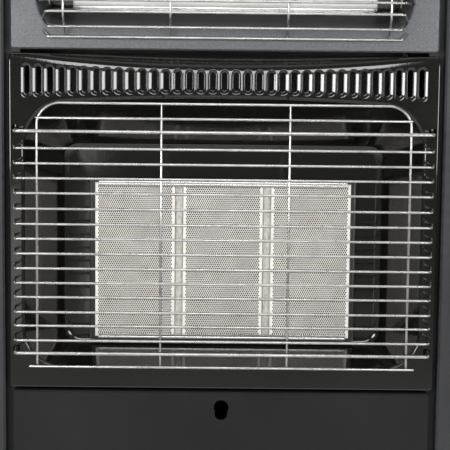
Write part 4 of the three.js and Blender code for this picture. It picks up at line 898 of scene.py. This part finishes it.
SHARED_ORIGIN = np.zeros(3)  # for builds in the shared frame's millimetres
MARK_RISE = 0.12
TICK_START = 24.5  # from the knob's middle


def build_marks():
    """Plain printed marks round the controls: dial ticks, I and O, and a ring round the igniter."""
    build = Build()
    foot = world_box("control_panel")[1][2]
    head = foot + MARK_RISE

    def bar(x, y, angle, length, width):
        along = np.array([math.cos(angle), math.sin(angle)]) * length / 2
        side = np.array([-math.sin(angle), math.cos(angle)]) * width / 2
        outline = [np.array([x, y]) + along * a + side * b for a, b in ((-1, -1), (1, -1), (1, 1), (-1, 1))]
        lower, upper = (build.add([(*point, z) for point in outline]) for z in (foot, head))
        build.skin([lower, upper])
        build.cap(upper)
        build.cap(lower, flip=True)

    def ring(x, y, radius, width, count=32):
        section = ((radius + width, foot), (radius + width, head), (radius, head), (radius, foot))
        loops = [build.add([(x + r * math.cos(t), y + r * math.sin(t), z) for t in full_turn(count)])
                 for r, z in section]
        build.skin([*loops, loops[0]])

    x, y, _ = sum(world_box("gas_knob")) / 2
    for step in range(8):  # longer ticks as the knob turns from its rest
        angle = math.radians(-90 + 30 * step)
        length = 2.2 + 0.35 * step
        reach = TICK_START + length / 2
        bar(x + reach * math.cos(angle), y + reach * math.sin(angle), angle, length, 0.9)
    for node in ("left_rocker", "right_rocker"):
        low, high = world_box(node)
        x = (low[0] + high[0]) / 2
        bar(x, low[1] - 6.5, math.pi / 2, 4.4, 0.8)
        ring(x, high[1] + 6, 1.7, 0.6)
    x, y, _ = sum(world_box("igniter_button")) / 2
    ring(x, y, 10.5, 0.6, 48)
    add_mesh("control_marks", build, PRINT, origin=SHARED_ORIGIN)


def build_screws():
    """Pan heads that hold the rear upper panel to the side panels' flanges."""
    build = Build()
    low, high = world_box("rear_upper_panel")
    profile = [(3.6, 0), (3.5, 0.3), (3.1, 0.52), (2.3, 0.68), (1.75, 0.7), (1.65, 0.2)]  # (radius, height)
    angles = full_turn(24)
    for x in (low[0] + 6, high[0] - 6):
        for z in (low[2] + 45, high[2] - 15):
            loops = [build.add([(x - r * math.cos(t), high[1] + h, z + r * math.sin(t)) for t in angles])
                     for r, h in profile]
            build.skin(loops)
            build.cap(loops[0], flip=True)
            build.cap(loops[-1])
    add_mesh("rear_panel_screws", build, STEEL, sharp=35, origin=SHARED_ORIGIN)


# ---------------------------------------------------------------- scene, in metres

FLOOR_REACH = 25.0
CAMERA_ANGLES = (7.051, -0.251, 0.633)  # pitch down, yaw and roll, in degrees
CAMERA_PLACE = (-0.004491, -1.425139, 0.150102)  # from the middle of the fascia's front face
CAMERA_LENS, CAMERA_SENSOR = 125.98, 36  # millimetres
CAMERA_SHIFT = (0.0008, 0.0609)
WORLD_LIGHT, WORLD_SEEN = 0.26, 0.19  # strength of the world as light, and as the camera and mirrors see it

LAMPS = [  # name, place, aim, size and power in watts
    ("left softbox", (-0.53, -0.89, 0.6), (0, -0.19, 0.57), (0.42, 0.25), 6.2),
    ("right softbox", (0.53, -0.89, 0.6), (0, -0.19, 0.57), (0.42, 0.25), 4.4),
    ("front softbox", (0, -1.08, 0.905), (0, -0.19, 0.6), (0.46, 0.34), 4.4),
    ("brow softbox", (0, -1.75, 2.9), (0, -0.19, 0.63), (1.8, 0.7), 2.2),
    ("low reflector", (-0.42, -2.4, 0.17), (0, -0.19, 0.4), (0.26, 0.32), 0.35),
    ("top softbox", (0, -0.2, 2.4), (0, 0, 0.8), (1.5, 1.5), 24),
    ("left fill", (-2.2, 0.4, 1.3), (0, 0, 0.5), (1.0, 1.0), 22),
    ("right fill", (2.2, 0.4, 1.3), (0, 0, 0.5), (1.0, 1.0), 22),
    ("rear fill", (0.5, 2.2, 1.5), (0, 0, 0.5), (1.2, 1.2), 34),
]


def build_stage():
    pale = Nodes("pale floor", (0.7, 0.7, 0.69), 0.8)
    pale.color(pale.noise(3, 3), (0.68, 0.68, 0.67), (0.72, 0.72, 0.71))
    mesh = bpy.data.meshes.new("floor")
    corners = [(FLOOR_REACH * x, FLOOR_REACH * y, 0) for x, y in ((-1, -1), (1, -1), (1, 1), (-1, 1))]
    mesh.from_pydata(corners, [], [(0, 1, 2, 3)])
    mesh.materials.append(pale.material)
    floor = bpy.data.objects.new("floor", mesh)
    bpy.context.scene.collection.objects.link(floor)


def build_camera():
    """The photograph's viewpoint: almost square on, a little above the burner's middle."""
    pitch, yaw, roll = (math.radians(v) for v in CAMERA_ANGLES)
    look = Vector((-math.sin(yaw) * math.cos(pitch), math.cos(yaw) * math.cos(pitch), -math.sin(pitch)))
    side = Vector((math.cos(yaw), math.sin(yaw), 0))
    over = side.cross(look)
    right = side * math.cos(roll) + over * math.sin(roll)
    up = over * math.cos(roll) - side * math.sin(roll)
    place = Vector(ORIGIN) + Vector(CAMERA_PLACE)
    data = bpy.data.cameras.new("camera")
    data.sensor_width = CAMERA_SENSOR
    data.lens = CAMERA_LENS
    data.shift_x, data.shift_y = CAMERA_SHIFT
    made = bpy.data.objects.new("camera", data)
    columns = (right, up, -look, place)
    made.matrix_world = Matrix([[c[i] for c in columns] for i in range(3)] + [[0, 0, 0, 1]])
    bpy.context.scene.collection.objects.link(made)
    bpy.context.scene.camera = made


def build_world():
    """An even white room, a little darker where the camera and mirrors see it."""
    world = bpy.data.worlds.new("studio")
    world.use_nodes = True
    tree = world.node_tree
    rays = tree.nodes.new("ShaderNodeLightPath")
    seen = rays.outputs["Is Camera Ray"]
    for name in ("Is Glossy Ray", "Is Transmission Ray"):
        either = tree.nodes.new("ShaderNodeMath")
        either.operation = "MAXIMUM"
        tree.links.new(seen, either.inputs[0])
        tree.links.new(rays.outputs[name], either.inputs[1])
        seen = either.outputs["Value"]
    strength = tree.nodes.new("ShaderNodeMapRange")
    strength.inputs["To Min"].default_value = WORLD_LIGHT
    strength.inputs["To Max"].default_value = WORLD_SEEN
    tree.links.new(seen, strength.inputs["Value"])
    tree.links.new(strength.outputs["Result"], tree.nodes["Background"].inputs["Strength"])
    tree.nodes["Background"].inputs["Color"].default_value = (1, 1, 1, 1)
    bpy.context.scene.world = world
    bpy.context.scene.view_settings.view_transform = "Standard"


def add_lamp(name, place, aim, size, power):
    lamp = bpy.data.lights.new(name, "AREA")
    lamp.shape = "RECTANGLE"
    lamp.size, lamp.size_y = size
    lamp.energy = power
    made = bpy.data.objects.new(name, lamp)
    made.location = place
    made.visible_camera = False
    made.rotation_euler = (Vector(aim) - Vector(place)).to_track_quat("-Z", "Y").to_euler()
    bpy.context.scene.collection.objects.link(made)


FINISHES = {
    "left_side_panel": SIDE_GREY, "right_side_panel": SIDE_GREY, "base_tray": CHARCOAL,
    "bottle_shelf": GALVANISED, "lower_front_panel": CHARCOAL, "rear_upper_panel": CHARCOAL,
    "rear_door": CHARCOAL, "door_catch": BLACK_PLASTIC, "door_pull": BLACK_PLASTIC, "top_casing": CHARCOAL,
    "heat_shield": HEATED, "lower_hinge_pin": STEEL, "upper_hinge_pin": STEEL, "left_grip": BLACK_PLASTIC,
    "right_grip": BLACK_PLASTIC, "mains_gland": BLACK_PLASTIC, "control_panel": BLACK_PLASTIC,
    "switch_block": BLACK_PLASTIC, "gas_valve": BRASS, "valve_push_rod": STEEL, "gas_knob": BLACK_PLASTIC,
    "igniter_button": RED_PLASTIC, "igniter_body": BLACK_PLASTIC, "right_rocker": RED_PLASTIC,
    "left_rocker": RED_PLASTIC, "gas_manifold": TUBE_STEEL, "pilot_assembly": STEEL, "gas_inlet": BRASS,
    "upper_fascia": METALLIC, "reflector": ALUMINIUM, "lower_quartz_tube": QUARTZ,
    "upper_quartz_tube": QUARTZ, "left_tube_holder": TINTED_STEEL, "right_tube_holder": TINTED_STEEL,
}
for number in range(1, 5):
    FINISHES[f"castor_fork_{number}"] = BLACK_PLASTIC
    FINISHES[f"castor_wheel_{number}"] = RUBBER

for node, finish in FINISHES.items():  # the CAD nodes that keep their own shape
    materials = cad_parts[node].data.materials
    materials.clear()
    materials.append(finish)

build_fascia()
for number in (1, 2, 3):
    build_plaque(f"plaque_{number}")
build_housing()
for node in ("plaque_gasket_1", "plaque_gasket_2"):
    build_gasket(node)
for node in ("upper_plaque_strip", "lower_plaque_strip"):
    build_strip(node)
build_burner_guard()
build_element_guard()
build_marks()
build_screws()
build_stage()
build_camera()
build_world()
for lamp in LAMPS:
    add_lamp(*lamp)
